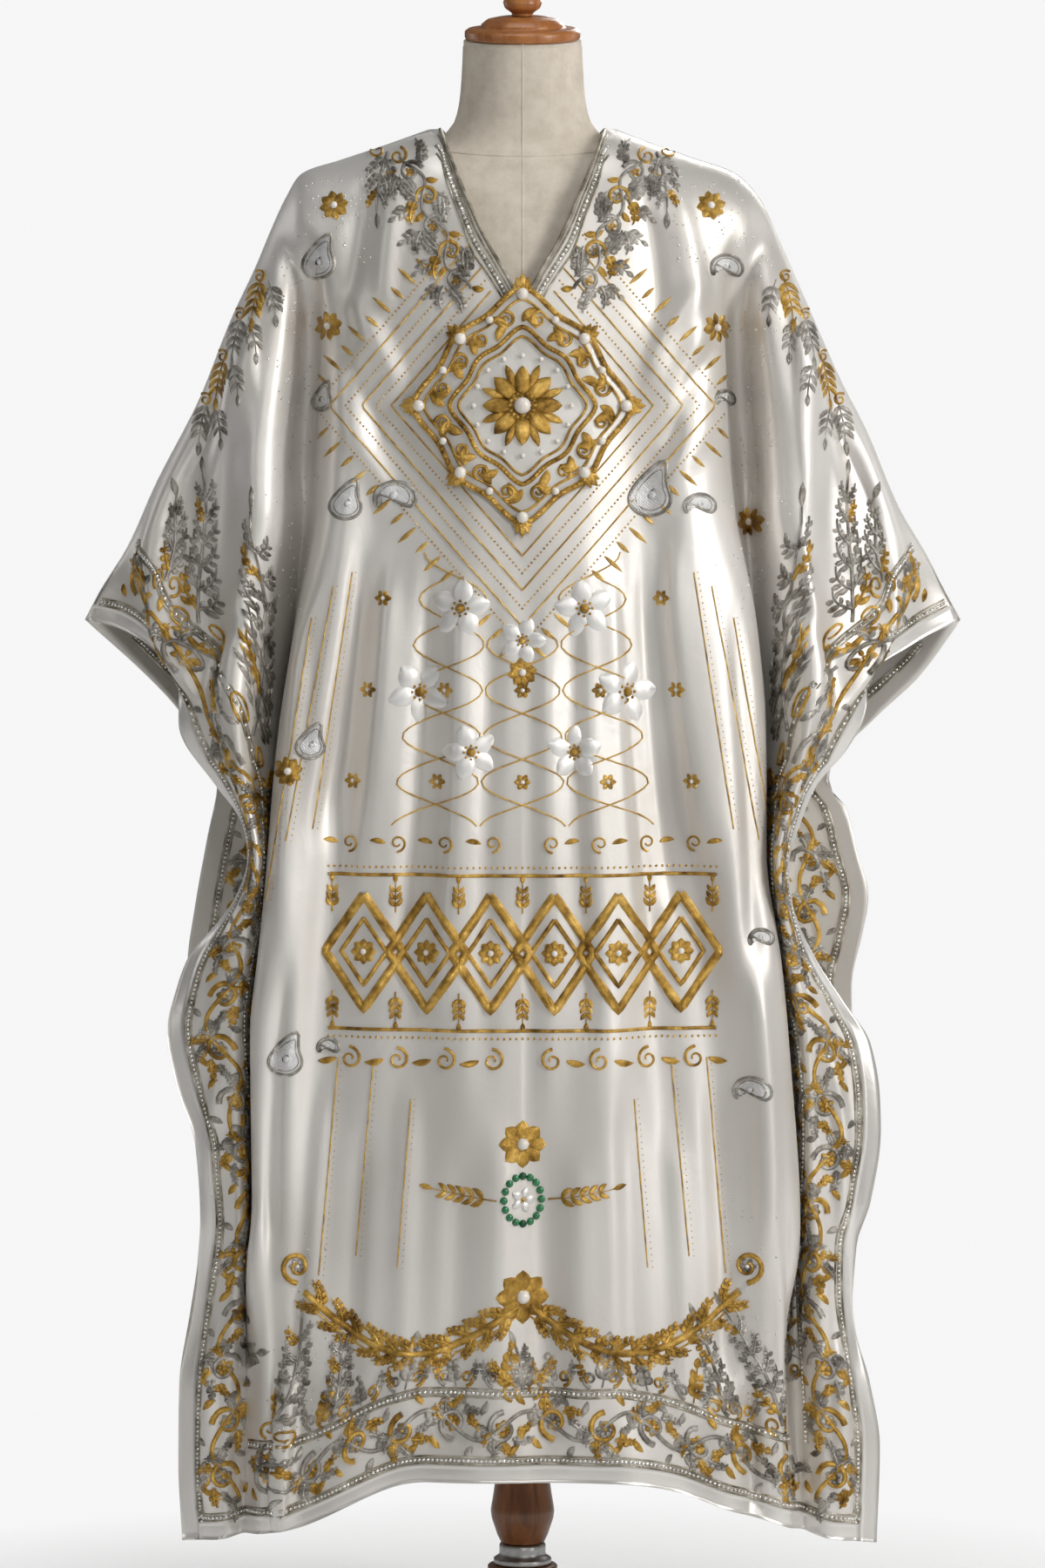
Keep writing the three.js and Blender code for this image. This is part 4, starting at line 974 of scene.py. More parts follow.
def paisley(fill, cordst, place, a, b, size, hand=1, turn=0.0):
    """Padded drop-shaped motif with a curled tip, outlined and quilted."""
    n = 30
    t = np.linspace(0, 1, n)
    ang = turn + hand * (2 * np.pi * t)
    r = size * (0.62 - 0.20 * np.cos(2 * np.pi * t))
    # drop outline: circle pulled to a tip that leans over
    xs = a + size * 0.62 * np.cos(ang) + hand * size * 0.55 * np.exp(-((t - 0.25) / 0.09) ** 2) * math.cos(turn + hand * math.pi * 0.5 - 0.9 * hand)
    zs = b + size * 0.50 * np.sin(ang) + size * 0.62 * np.exp(-((t - 0.25) / 0.10) ** 2)
    cx, cz = xs.mean(), zs.mean()
    for q, hh in ((1.0, 2.0), (0.74, 1.5), (0.47, 1.3)):
        P, N = place(cx + (xs - cx) * q, cz + (zs - cz) * q)
        P[-1], N[-1] = P[0], N[0]
        cordst.ribbon(P, N, 2.0 if q == 1.0 else 1.2, hh)
    rings = [place(cx + (xs - cx) * q, cz + (zs - cz) * q) for q in (1.0, 0.8, 0.5, 0.2)]
    V = np.concatenate([p + m * (0.8 + h) for (p, m), h in zip(rings, (0.1, 1.2, 1.6, 1.7))])
    i = np.arange(n * 4).reshape(4, n)
    F = np.stack([i[:-1, :-1], i[:-1, 1:], i[1:, 1:], i[1:, :-1]], -1).reshape(-1, 4)
    fill.add(V, F)
    P, N = place(np.array([cx]), np.array([cz]))
    fill.bead(P + N, N, size * 0.13, squash=0.6, sides=10)


def blossom(white, gold, place, a, b, r, turn=0.0, petals=5):
    """Padded flower with broad petals and a beaded heart."""
    for k in range(petals):
        ang = turn + 2 * np.pi * k / petals
        t = np.linspace(0, 1, 7)
        P, N = place(a + r * (0.15 + 0.85 * t) * math.cos(ang), b + r * (0.15 + 0.85 * t) * math.sin(ang))
        w = r * 0.36 * np.sin(np.pi * np.clip(t * 0.8 + 0.14, 0, 1)) ** 0.7
        w[-1] = r * 0.06
        white.ribbon(P, N, w, 3.2 * np.sin(np.pi * np.clip(t * 0.85 + 0.1, 0, 1)) + 0.5, profile=((-1, 0), (-0.6, 0.9), (0, 0.55), (0.6, 0.9), (1, 0)))
    P, N = place(np.array([a]), np.array([b]))
    gold.bead(P + N, N, r * 0.17, squash=1.0, sides=9)
    ang = 2 * np.pi * np.arange(8) / 8
    P, N = place(a + r * 0.25 * np.cos(ang), b + r * 0.25 * np.sin(ang))
    gold.bead(P + N * 1.5, N, r * 0.055, squash=1.0, sides=6)


def line_on(st, place, a, b, half, height, step=7.0):
    """Cord through the corners of a polyline, sampled evenly."""
    a, b = np.asarray(a, float), np.asarray(b, float)
    L = np.concatenate([[0], np.cumsum(np.hypot(np.diff(a), np.diff(b)))])
    n = max(3, int(L[-1] / step) + 1)
    s = np.linspace(0, L[-1], n)
    P, N = place(np.interp(s, L, a), np.interp(s, L, b))
    st.ribbon(P, N, half, height)


def beads_on(st, place, a, b, r, gap):
    a, b = np.asarray(a, float), np.asarray(b, float)
    L = np.concatenate([[0], np.cumsum(np.hypot(np.diff(a), np.diff(b)))])
    n = max(2, int(L[-1] / gap))
    s = np.linspace(0, L[-1], n)
    P, N = place(np.interp(s, L, a), np.interp(s, L, b))
    st.bead(P, N, r, sides=6)


# ------------------------------------------------------------------ procedural materials
def material(name):
    m = bpy.data.materials.new(name)
    m.use_nodes = True
    nt = m.node_tree
    b = nt.nodes["Principled BSDF"]
    tc = nt.nodes.new("ShaderNodeTexCoord")
    return m, nt, b, tc.outputs["Object"]


def noise(nt, vec, scale, detail=3.0, rough=0.5, distortion=0.0):
    n = nt.nodes.new("ShaderNodeTexNoise")
    n.inputs["Scale"].default_value = scale
    n.inputs["Detail"].default_value = detail
    n.inputs["Roughness"].default_value = rough
    n.inputs["Distortion"].default_value = distortion
    nt.links.new(vec, n.inputs["Vector"])
    return n.outputs["Fac"]


def wave(nt, vec, scale, direction="X", distortion=0.0, detail=1.0, dscale=1.0):
    n = nt.nodes.new("ShaderNodeTexWave")
    n.bands_direction = direction
    n.inputs["Scale"].default_value = scale
    n.inputs["Distortion"].default_value = distortion
    n.inputs["Detail"].default_value = detail
    n.inputs["Detail Scale"].default_value = dscale
    nt.links.new(vec, n.inputs["Vector"])
    return n.outputs["Fac"]


def math_node(nt, op, a, b):
    n = nt.nodes.new("ShaderNodeMath")
    n.operation = op
    for k, v in enumerate((a, b)):
        if isinstance(v, (int, float)):
            n.inputs[k].default_value = v
        else:
            nt.links.new(v, n.inputs[k])
    return n.outputs[0]


def ramp(nt, fac, stops):
    n = nt.nodes.new("ShaderNodeValToRGB")
    e = n.color_ramp.elements
    e[0].position, e[0].color = stops[0][0], (*stops[0][1], 1)
    e[1].position, e[1].color = stops[1][0], (*stops[1][1], 1)
    for p, c in stops[2:]:
        x = e.new(p)
        x.color = (*c, 1)
    nt.links.new(fac, n.inputs["Fac"])
    return n.outputs["Color"]


def bump(nt, b, height, strength, distance):
    n = nt.nodes.new("ShaderNodeBump")
    n.inputs["Strength"].default_value = strength
    n.inputs["Distance"].default_value = distance
    nt.links.new(height, n.inputs["Height"])
    nt.links.new(n.outputs["Normal"], b.inputs["Normal"])


def set_values(b, **values):
    for k, v in values.items():
        b.inputs[k.replace("_", " ")].default_value = v


def satin_material(name, light, dark, rough=0.45):
    m, nt, b, vec = material(name)
    soft = noise(nt, vec, 5.0, 2.0, 0.45)
    nt.links.new(ramp(nt, soft, [(0.32, dark), (0.68, light)]), b.inputs["Base Color"])
    set_values(b, Roughness=rough, Metallic=0.50)
    b.inputs["Sheen Weight"].default_value = 0.25
    b.inputs["Sheen Roughness"].default_value = 0.45
    b.inputs["Specular IOR Level"].default_value = 0.6
    twill = wave(nt, vec, 420.0, "DIAGONAL", 1.5, 1.0)
    h = math_node(nt, "ADD", math_node(nt, "MULTIPLY", noise(nt, vec, 26.0, 4.0, 0.6, 0.8), 1.0), math_node(nt, "MULTIPLY", twill, 0.05))
    bump(nt, b, h, 0.28, 0.0022)
    return m


def thread_material(name, light, mid, dark, rough=0.36, metallic=0.85, scale=300.0):
    m, nt, b, vec = material(name)
    tone = noise(nt, vec, 60.0, 3.0, 0.6)
    nt.links.new(ramp(nt, tone, [(0.30, dark), (0.72, light), (0.52, mid)]), b.inputs["Base Color"])
    set_values(b, Roughness=rough, Metallic=metallic)
    strands = wave(nt, vec, scale, "DIAGONAL", 6.0, 2.0, 2.0)
    bump(nt, b, strands, 0.55, 0.0007)
    return m


def wood_material(name, light, dark, rough=0.38):
    m, nt, b, vec = material(name)
    mp = nt.nodes.new("ShaderNodeMapping")
    mp.inputs["Scale"].default_value = (1.0, 1.0, 0.13)
    nt.links.new(vec, mp.inputs["Vector"])
    grain = noise(nt, mp.outputs["Vector"], 70.0, 6.0, 0.65, 1.2)
    nt.links.new(ramp(nt, grain, [(0.3, dark), (0.7, light)]), b.inputs["Base Color"])
    set_values(b, Roughness=rough)
    b.inputs["Coat Weight"].default_value = 0.35
    b.inputs["Coat Roughness"].default_value = 0.25
    bump(nt, b, grain, 0.12, 0.001)
    return m


SATIN = satin_material("satin_cloth", (0.89, 0.865, 0.83), (0.73, 0.70, 0.655))
EDGE_SATIN = satin_material("edge_satin_cloth", (0.90, 0.88, 0.85), (0.78, 0.755, 0.72), 0.32)
GOLD = thread_material("gold_thread_stitch", (0.93, 0.62, 0.18), (0.55, 0.33, 0.07), (0.17, 0.085, 0.015), 0.32)
GOLD_FINE = thread_material("gold_fine_thread", (0.98, 0.72, 0.28), (0.72, 0.47, 0.14), (0.38, 0.22, 0.06), 0.30, 0.85, 420.0)
SILVER = thread_material("silver_thread_stitch", (0.74, 0.71, 0.66), (0.42, 0.395, 0.355), (0.12, 0.105, 0.085), 0.32)
BRAID = thread_material("silver_braid_stitch", (0.78, 0.74, 0.66), (0.44, 0.40, 0.32), (0.15, 0.125, 0.08), 0.32)
BEADS = thread_material("silver_beads", (0.98, 0.97, 0.95), (0.86, 0.85, 0.82), (0.62, 0.60, 0.55), 0.18, 0.75, 120.0)
WHITE = satin_material("white_thread", (0.90, 0.89, 0.87), (0.80, 0.79, 0.77), 0.45)

PEARL, nt, b, vec = material("pearl_beads")
set_values(b, Base_Color=(0.86, 0.81, 0.74, 1), Roughness=0.22)
b.inputs["Coat Weight"].default_value = 0.5
nt.links.new(ramp(nt, noise(nt, vec, 30.0), [(0.3, (0.80, 0.74, 0.66)), (0.7, (0.92, 0.89, 0.84))]), b.inputs["Base Color"])

GREEN, nt, b, vec = material("green_glass_beads")
set_values(b, Roughness=0.18)
b.inputs["Coat Weight"].default_value = 0.6
nt.links.new(ramp(nt, noise(nt, vec, 90.0), [(0.3, (0.01, 0.13, 0.045)), (0.7, (0.02, 0.24, 0.08))]), b.inputs["Base Color"])

GLITTER, nt, b, vec = material("glass_seed_beads")
set_values(b, Roughness=0.12, Metallic=0.75)
nt.links.new(ramp(nt, noise(nt, vec, 400.0), [(0.35, (0.55, 0.54, 0.52)), (0.65, (0.95, 0.93, 0.88))]), b.inputs["Base Color"])

LINEN, nt, b, vec = material("form_linen")
warp = wave(nt, vec, 330.0, "X", 2.5, 2.0, 3.0)
weft = wave(nt, vec, 330.0, "Z", 2.5, 2.0, 3.0)
mix = math_node(nt, "ADD", math_node(nt, "MULTIPLY", warp, 0.5), math_node(nt, "MULTIPLY", weft, 0.5))
fleck = math_node(nt, "ADD", math_node(nt, "MULTIPLY", mix, 0.45), math_node(nt, "MULTIPLY", noise(nt, vec, 45.0, 5.0, 0.7), 0.75))
nt.links.new(ramp(nt, fleck, [(0.36, (0.56, 0.49, 0.40)), (0.78, (0.80, 0.73, 0.63))]), b.inputs["Base Color"])
set_values(b, Roughness=0.9)
bump(nt, b, mix, 0.35, 0.0006)

TURNED = wood_material("turned_wood_grain", (0.52, 0.21, 0.06), (0.27, 0.085, 0.02))
DARK = wood_material("dark_wood_grain", (0.30, 0.115, 0.035), (0.12, 0.04, 0.01))

STEEL, nt, b, vec = material("brushed_steel")
set_values(b, Roughness=0.32, Metallic=1.0)
nt.links.new(ramp(nt, noise(nt, vec, 120.0, 2.0), [(0.3, (0.42, 0.42, 0.42)), (0.7, (0.56, 0.56, 0.55))]), b.inputs["Base Color"])
bump(nt, b, wave(nt, vec, 500.0, "Z", 1.0), 0.2, 0.0003)


# ------------------------------------------------------------------ cloth
front, back = Panel(True), Panel(False)
pieces = []


def own(obj, slot_name, *nodes):
    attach(obj, "root")
    if nodes:
        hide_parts(*nodes)
    pieces.append(obj)
    return obj


def band_piece(panel, name, cad):
    """Plain satin binding on both free edges and the hem, with a rolled outer edge."""
    parts = []
    for side in (-1, 1):
        s = np.arange(0.0, panel.S[side][-1] + 0.1, 7.0)
        s = np.append(s[s < panel.S[side][-1] - 3], panel.S[side][-1])
        parts.append([panel.on_side(side, s, np.full(len(s), d)) for d in np.linspace(0.0, BAND_WIDTH, 5)])
    h = np.linspace(BAND_WIDTH, panel.hem[-1] - BAND_WIDTH, 130)
    parts.append([panel.on_hem(h, np.full(len(h), d)) for d in np.linspace(0.0, BAND_WIDTH, 5)])
    V, F, count = [], [], 0
    for rows_ in parts:
        P, N = np.stack([r[0] for r in rows_]), np.stack([r[1] for r in rows_])
        m, n = P.shape[:2]
        rise = np.array([0.9, 1.5, 1.45, 1.45, 1.1])[:, None, None]
        top, low = (P + N * rise).reshape(-1, 3), (P + N * 0.76).reshape(-1, 3)
        i = np.arange(m * n).reshape(m, n) + count
        q = np.stack([i[:-1, :-1], i[1:, :-1], i[1:, 1:], i[:-1, 1:]], -1).reshape(-1, 4)
        ring = np.concatenate([i[0, :], i[1:, -1], i[-1, -2::-1], i[-2:0:-1, 0]])
        nxt = np.roll(ring, -1)
        F += [q, q[:, ::-1] + m * n, np.stack([ring, ring + m * n, nxt + m * n, nxt], -1)]
        V += [top, low]
        count += 2 * m * n
    lim = SEAM_GAP / 2
    V = np.concatenate(V)
    V[:, 1] = np.minimum(V[:, 1], -lim) if panel.is_front else np.maximum(V[:, 1], lim)
    obj = own(new_object(name, V, np.concatenate(F).tolist(), EDGE_SATIN), "edge_satin", cad)
    return obj, (panel.S[-1][-1] + panel.S[1][-1] + panel.hem[-1]) * 0.001


def braid_piece(panel, name, cad):
    st, beads = Stitch(), Stitch()
    PLAIN["on"] = not panel.is_front
    for side in (-1, 1):
        edge_trim(st, beads, side_place(panel, side), 6, panel.S[side][-1] - BAND_WIDTH - 1, BAND_WIDTH, BRAID_WIDTH)
    edge_trim(st, beads, hem_place(panel), BAND_WIDTH, panel.hem[-1] - BAND_WIDTH, BAND_WIDTH, BRAID_WIDTH)
    PLAIN["on"] = False
    own(beads.build(name + "_beads", BEADS), "silver_braid")
    return own(st.build(name, BRAID), "silver_braid", cad)


def neck_piece(panel, name, cad):
    """Piped and beaded trim that follows the neckline."""
    mid = panel.mid
    neck_n = sum(SUB_COLS[:4])
    js = np.arange(mid - neck_n, mid + neck_n + 1)
    # distance down the threads from the top row, as a true width across the trim
    P0 = panel.P[0, js]
    T = np.gradient(P0, axis=0)
    T /= np.linalg.norm(T, axis=1, keepdims=True)
    st = Stitch()

    def along(width_at):
        out_p, out_n = [], []
        for n, j in enumerate(js):
            col = panel.P[:30, j]
            rel = col - col[0]
            across = rel - (rel @ T[n])[:, None] * T[n]
            w = np.linalg.norm(across, axis=1)
            i = np.interp(width_at, w, np.arange(30))
            p, q = panel.at(np.array([i]), np.array([float(j)]))
            out_p.append(p[0]); out_n.append(q[0])
        return np.array(out_p), np.array(out_n)
    for d, half, height in ((1.2, 2.0, 2.6), (5.6, 1.3, 1.6), (11.0, 3.2, 1.2), (16.4, 1.3, 1.6)):
        P, N = along(d)
        st.ribbon(P, N, half, height)
    P, N = along(11.0)
    L = np.concatenate([[0], np.cumsum(np.linalg.norm(np.diff(P, axis=0), axis=1))])
    s = np.arange(2, L[-1], 5.0)
    Q = np.stack([np.interp(s, L, P[:, c]) for c in range(3)], 1)
    M = np.stack([np.interp(s, L, N[:, c]) for c in range(3)], 1)
    beads = Stitch()
    beads.bead(Q + M * 0.9, M, 2.3, squash=0.9, sides=7)
    own(beads.build(name + "_beads", BEADS), "silver_braid")
    return own(st.build(name, BRAID), "silver_braid", cad)


front_cloth = own(sheet_shell("front_cloth", front.P, front.N, -WALL / 2, WALL / 2, True, SATIN), "satin", "front_panel")
back_cloth = own(sheet_shell("back_cloth", back.P, back.N, -WALL / 2, WALL / 2, False, SATIN), "satin", "back_panel")
front_band, front_band_length = band_piece(front, "front_binding", "front_edge_band")
back_band, back_band_length = band_piece(back, "back_binding", "back_edge_band")
front_braid = braid_piece(front, "front_braid", "front_edge_braid")
back_braid = braid_piece(back, "back_braid", "back_edge_braid")
front_neck = neck_piece(front, "front_neckline", "front_neck_trim")
back_neck = neck_piece(back, "back_neckline", "back_neck_trim")


def top_seam(name):
    """Closing seam from each side of the neck along the shoulder and sleeve to the sleeve tip."""
    st = Stitch()
    k = sum(SUB_COLS[:4])
    for cols in (slice(0, front.mid - k + 1), slice(front.mid + k, None)):
        P = front.P[0, cols].copy()
        P[:, 1] = 0
        T = np.gradient(P, axis=0)
        N = np.stack([-T[:, 2], np.zeros(len(T)), T[:, 0]], 1)
        N /= np.linalg.norm(N, axis=1, keepdims=True)
        st.ribbon(P - N * 0.5, N, 2.2, 0.9)
    return own(st.build(name, EDGE_SATIN), "edge_satin")


top_seam("shoulder_seams")


def true_area(panel):
    P = panel.P
    a, b = P[1:, 1:] - P[:-1, :-1], P[1:, :-1] - P[:-1, 1:]
    return float(np.linalg.norm(np.cross(a, b), axis=-1).sum() / 2) * 1e-6


front_area, back_area = true_area(front), true_area(back)


# ------------------------------------------------------------------ border and sprays on one panel
def border(panel, gold, silver, pearl, braid, beads):
    sides = {-1: panel.S[-1][-1], 1: panel.S[1][-1]}
    for side, end in sides.items():
        place = side_place(panel, side)
        scroll_border(gold, silver, pearl, place, 22, end - 36, phase=0)
        edge_trim(braid, beads, place, 22, end - 92, 86, 11)
        sleeve = 270
        spray_row(gold, silver, place, sleeve, end - 150, 98, (34, 52, 40, 60), step=50)
    place = hem_place(panel)
    L = panel.hem[-1]
    scroll_border(gold, silver, pearl, place, 92, L - 92, phase=1)
    edge_trim(braid, beads, place, 90, L - 90, 86, 11)
    spray_row(gold, silver, place, 150, L - 150, 98, (38, 26, 44, 30), step=48)
    for s, a, l in ((128, 1.25, 120), (L - 128, math.pi - 1.25, 120)):
        tall_spray(gold, silver, pearl, place, s, 104, a, l)
        tall_spray(gold, silver, pearl, place, s + (64 if s < L / 2 else -64), 104, a + (0.18 if s < L / 2 else -0.18), l * 0.72)
    for side in (-1, 1):
        place = side_place(panel, side)
        # plumes on the sleeve above the scroll border
        for s, l, a in ((112, 84, math.pi / 2 + 0.6), (152, 128, math.pi / 2 + 0.52), (205, 155, math.pi / 2 + 0.42), (258, 112, math.pi / 2 + 0.25), (306, 80, math.pi / 2 + 0.1)):
            tall_spray(gold, silver, pearl, place, s, 100, a, l, hand=1)


def neck_border(gold, silver, pearl, seen):
    """Scrolls down one side of the V, outside its trim: s runs down the edge, d away from it."""
    top, foot = (83.0, NECK_TOP), (0.0, V_POINT)
    length = math.hypot(top[0] - foot[0], top[1] - foot[1])
    ea, eb = (foot[0] - top[0]) / length, (foot[1] - top[1]) / length

    def place(s, d):
        return seen(top[0] + ea * s - eb * d, top[1] + eb * s + ea * d)

    curls = 5
    step = (length - 62) / curls
    s = np.linspace(14, length - 46, 60)
    P, N = place(s, 43 + 7 * np.cos(np.pi * (s - 14) / step))
    silver.ribbon(P, N, 2.0, 2.2)
    for k in range(curls):
        up = 1 if k % 2 else -1
        s0, c = 18 + (k + 0.5) * step, 43 - up * 3
        main, other = (gold, silver) if k % 2 else (silver, gold)
        spiral(main, place, s0, c, 12.5, 2.6, math.pi * 0.5 * up, 1.25, half=2.7, height=2.4, hand=up, n=20)
        rosette(other, pearl, place, s0, c, 6.2, petals=5, turn=0.4 * k)
        acanthus(silver, place, s0 + 5, c - up * 11, 0.5 * up, 28, hand=-up, lobes=4, width=8.4, height=2.5)
        acanthus(silver, place, s0 - 5, c + up * 12, math.pi - 0.6 * up, 27, hand=up, lobes=4, width=8.4, height=2.5)
        acanthus(gold if k % 2 else silver, place, s0, c + 14, 0.9, 24, hand=-1, lobes=3, width=8.0, height=2.5)
        leaf(gold, place, s0 + 12, c + up * 11, 0.9 * up, 13, 3.2, 2.1, bend=0.4 * up)
        sprig(silver, place, s0, 62, 1.35 - 0.25 * up, 17, pairs=2, leaf_len=12, leaf_w=3.0, bend=0.25 * up, height=1.9)


def shoulders(panel, gold, silver, pearl):
    for m in (-1, 1):
        place = seen_place(panel, m)
        if panel.is_front:
            neck_border(gold, silver, pearl, place)
            tall_spray(gold, silver, pearl, place, 136, 1552, -1.25, 62, hand=-1)
        else:
            for a, b, ang, l in ((112, 1548, -1.75, 88), (134, 1508, -1.95, 84), (124, 1560, -0.85, 60)):
                tall_spray(gold, silver, pearl, place, a, b, ang, l, hand=-1)
            for a, b, ang, l in ((104, 1500, -1.9, 42), (92, 1458, -1.95, 40), (72, 1424, -2.0, 34)):
                acanthus(gold, place, a, b, ang, l, hand=1, lobes=4, width=5.5, height=2.2)
            for a, b in ((118, 1476), (96, 1436), (144, 1532)):
                spiral(gold, place, a, b, 10, 2.4, 0.5, 1.3, half=2.0, height=2.3, hand=-1, n=22)
                rosette(silver, pearl, place, a, b, 5.5)
        # leaf clusters down the sleeve's outer line
        line = [(262, 1430), (282, 1392), (300, 1350), (318, 1306)]
        for k, (a, b) in enumerate(line):
            sprig(silver if k % 2 else gold, place, a, b, -1.2, 46, pairs=4, leaf_len=19, leaf_w=3.4, bend=-0.3, height=2.0)
            sprig(silver, place, a - 6, b - 6, -1.9, 36, pairs=3, leaf_len=16, leaf_w=3.0, bend=0.3, height=1.9)
            spiral(gold, place, a + 4, b - 2, 7, 2, 1.0, 1.2, half=1.6, height=2.0, hand=1, n=16)


def plain_middle(panel, gold_fine, gold, silver, white, fills, pearl, green, beads):
    """Lozenge chevrons, ogee trellis, blossoms, drops and leaf swag on the body of the front."""
    place = seen_place(panel)
    zc = MED_Z
    # nested lozenges of gold cord, left open at the neckline
    for k, w in enumerate((132, 147, 162, 178, 194, 210)):
        h = w * 1.14
        for sx in (-1, 1):
            t = np.linspace(0, 1, 60)
            a = np.concatenate([w * t, w * (1 - t[1:])])
            b = np.concatenate([zc - h * (1 - t), zc + h * t[1:]])
            a, b = a * sx, b
            keep = (b < neck_line(np.abs(a)) - 30) & (np.abs(a) < 206)
            runs = np.flatnonzero(np.diff(np.concatenate([[0], keep.astype(int), [0]])))
            for r0, r1 in zip(runs[::2], runs[1::2]):
                if r1 - r0 < 5:
                    continue
                if k % 2 == 0:
                    line_on(gold_fine, place, a[r0:r1], b[r0:r1], 1.1, 1.3, 6.0)
                else:
                    beads_on(gold_fine, place, a[r0:r1], b[r0:r1], 1.25, 4.6)
    # small leaves that stand out around the lozenges
    w = 214
    for sx in (-1, 1):
        for k in range(17):
            t = (k + 0.5) / 17
            for up in (-1, 1):
                a, b = sx * w * t, zc + up * w * 1.14 * (1 - t)
                if b > neck_line(abs(a)) - 34 or abs(a) > 204:
                    continue
                ang = math.atan2(up, sx * 1.14)
                leaf(gold_fine, place, a, b, ang, 17 if k % 2 else 24, 2.2, 1.6, bend=0)
    # star-flowers
    for a, b in ((190, 1499), (196, 1376), (-190, 1499), (-196, 1378), (0, 1030), (-236, 930), (232, 1180)):
        rosette(gold, pearl, place, a, b, 15, petals=8, turn=0.2, height=1.8)
    # drops in padded silver
    drops = [(-206, 1440, 27, 1), (206, 1436, 27, -1), (-203, 1302, 18, 1), (205, 1304, 18, -1), (-128, 1204, 34, -1), (128, 1204, 34, 1),
             (-178, 1196, 25, 1), (178, 1196, 25, -1), (-214, 954, 22, 1), (240, 760, 20, -1), (-240, 636, 27, 1), (232, 606, 30, -1), (-196, 650, 18, -1)]
    for a, b, r, hand in drops:
        paisley(fills, silver, place, a, b, r, hand)
    # trellis of ogees down the skirt
    top, low, half_w, tall = 1150.0, 876.0, 33.0, 92.0
    z = np.linspace(top, low, 80)
    for c in range(-3, 4):
        x0 = c * half_w
        for ph in (0, math.pi):
            spread = 1 + 0.35 * (top - z) / (top - low)
            a = (x0 + half_w * 0.97 * np.cos(2 * np.pi * (z - top) / tall + ph)) * spread
            if c % 2 == 0:
                keep = np.abs(a) / 214 + np.abs(z - zc) / 244 > 1.06
                first = int(np.argmax(keep))
                line_on(gold_fine, place, a[first:], z[first:], 1.0, 1.3, 6.5)
    for k in range(4):
        for c in range(-2, 3):
            zz = top - tall * (k * 1.0) - tall * 0.5
            if zz < low or abs(c * 2 * half_w) / 214 + abs(zz - zc) / 244 < 1.1:
                continue
            x = c * 2 * half_w * (1 + 0.35 * (top - zz) / (top - low))
            rosette(gold, pearl, place, x, zz, 8.5, petals=6, height=1.6)
    for a, b, r, t in ((-62, 1094, 30, 0.2), (62, 1094, 30, 0.5), (-104, 1010, 31, 0.9), (104, 1010, 31, 0.1), (-52, 950, 28, 0.6), (52, 950, 28, 0.3), (0, 1062, 24, 0.0)):
        blossom(white, gold, place, a, b, r, t)
    # long gold lines falling to the hem
    for a0, b0, a1, b1 in ((-172, 1130, -212, 872), (-190, 1116, -238, 860), (-212, 1084, -258, 800), (-186, 640, -206, 420), (-150, 640, -168, 440), (-112, 600, -126, 430),
                           (172, 1130, 212, 872), (190, 1116, 238, 860), (212, 1084, 262, 800), (186, 640, 206, 420), (150, 640, 168, 440), (112, 600, 126, 430)):
        line_on(gold_fine, place, [a0, a1], [b0, b1], 0.9, 1.1, 7.0)
        beads_on(gold_fine, place, [a0 + 4, a1 + 5], [b0, b1], 0.75, 6.0)
    # broad band of linked lozenges
    zc2, hh, count = 748.0, 58.0, 6
    pitch = 64.0
    for k in range(count):
        x = (k - (count - 1) / 2) * pitch
        for q, half, rise in ((1.0, 5.0, 3.4), (0.58, 2.6, 2.4)):
            t = np.linspace(0, 1, 9)
            a = np.concatenate([x + q * pitch * 0.62 * t, x + q * pitch * 0.62 * (1 - t[1:]), x - q * pitch * 0.62 * t[1:], x - q * pitch * 0.62 * (1 - t[1:])])
            b = np.concatenate([zc2 + q * hh * (1 - t), zc2 - q * hh * t[1:], zc2 - q * hh * (1 - t[1:]), zc2 + q * hh * t[1:]])
            line_on(gold, place, a, b, half, rise, 4.0)
        rosette(gold, pearl, place, x, zc2, 13, petals=8, height=2.6)
    for k in range(count + 1):
        x = (k - count / 2) * pitch
        for up in (-1, 1):
            sprig(gold, place, x, zc2 + up * 40, up * math.pi / 2, 30, pairs=3, leaf_len=12, leaf_w=2.6, bend=0.0, height=2.0)
    for zz in (zc2 + 78, zc2 - 78, zc2 + 86, zc2 - 86):
        a = np.linspace(-196, 196, 60)
        if abs(zz - zc2) < 80:
            line_on(gold, place, a, np.full(60, zz), 2.0, 2.0, 6.0)
        else:
            beads_on(gold_fine, place, a, np.full(60, zz), 1.5, 6.0)
    for m in (-1, 1):
        pl = seen_place(panel, m)
        for a in (30, 78, 126, 174):
            spiral(gold, pl, a, 640, 12, 2.4, math.pi / 2, 1.3, half=1.9, height=2.0, hand=1, n=22)
            leaf(gold, pl, a + 14, 640, -0.3, 20, 3.2, 1.9, bend=0.3)
            spiral(gold, pl, a, 858, 9, 2.4, -math.pi / 2, 1.2, half=1.5, height=1.8, hand=-1, n=20)
            leaf(gold, pl, a + 12, 858, 0.3, 16, 2.6, 1.8, bend=-0.3)
    # small flower with green beads
    rosette(gold, pearl, place, 0, 556, 24, petals=8, height=2.4)
    for m in (-1, 1):
        pl = seen_place(panel, m)
        sprig(gold, pl, 26, 500, 0.10, 66, pairs=5, leaf_len=17, leaf_w=3.0, bend=0.15, height=2.0)
        t = np.linspace(0, np.pi, 9)
        P, N = pl(19 * np.sin(t), 500 + 24 * np.cos(t))
        green.bead(P, N, 4.2, squash=0.8, sides=9)
    blossom(white, gold, place, 0, 500, 13, 0.0)
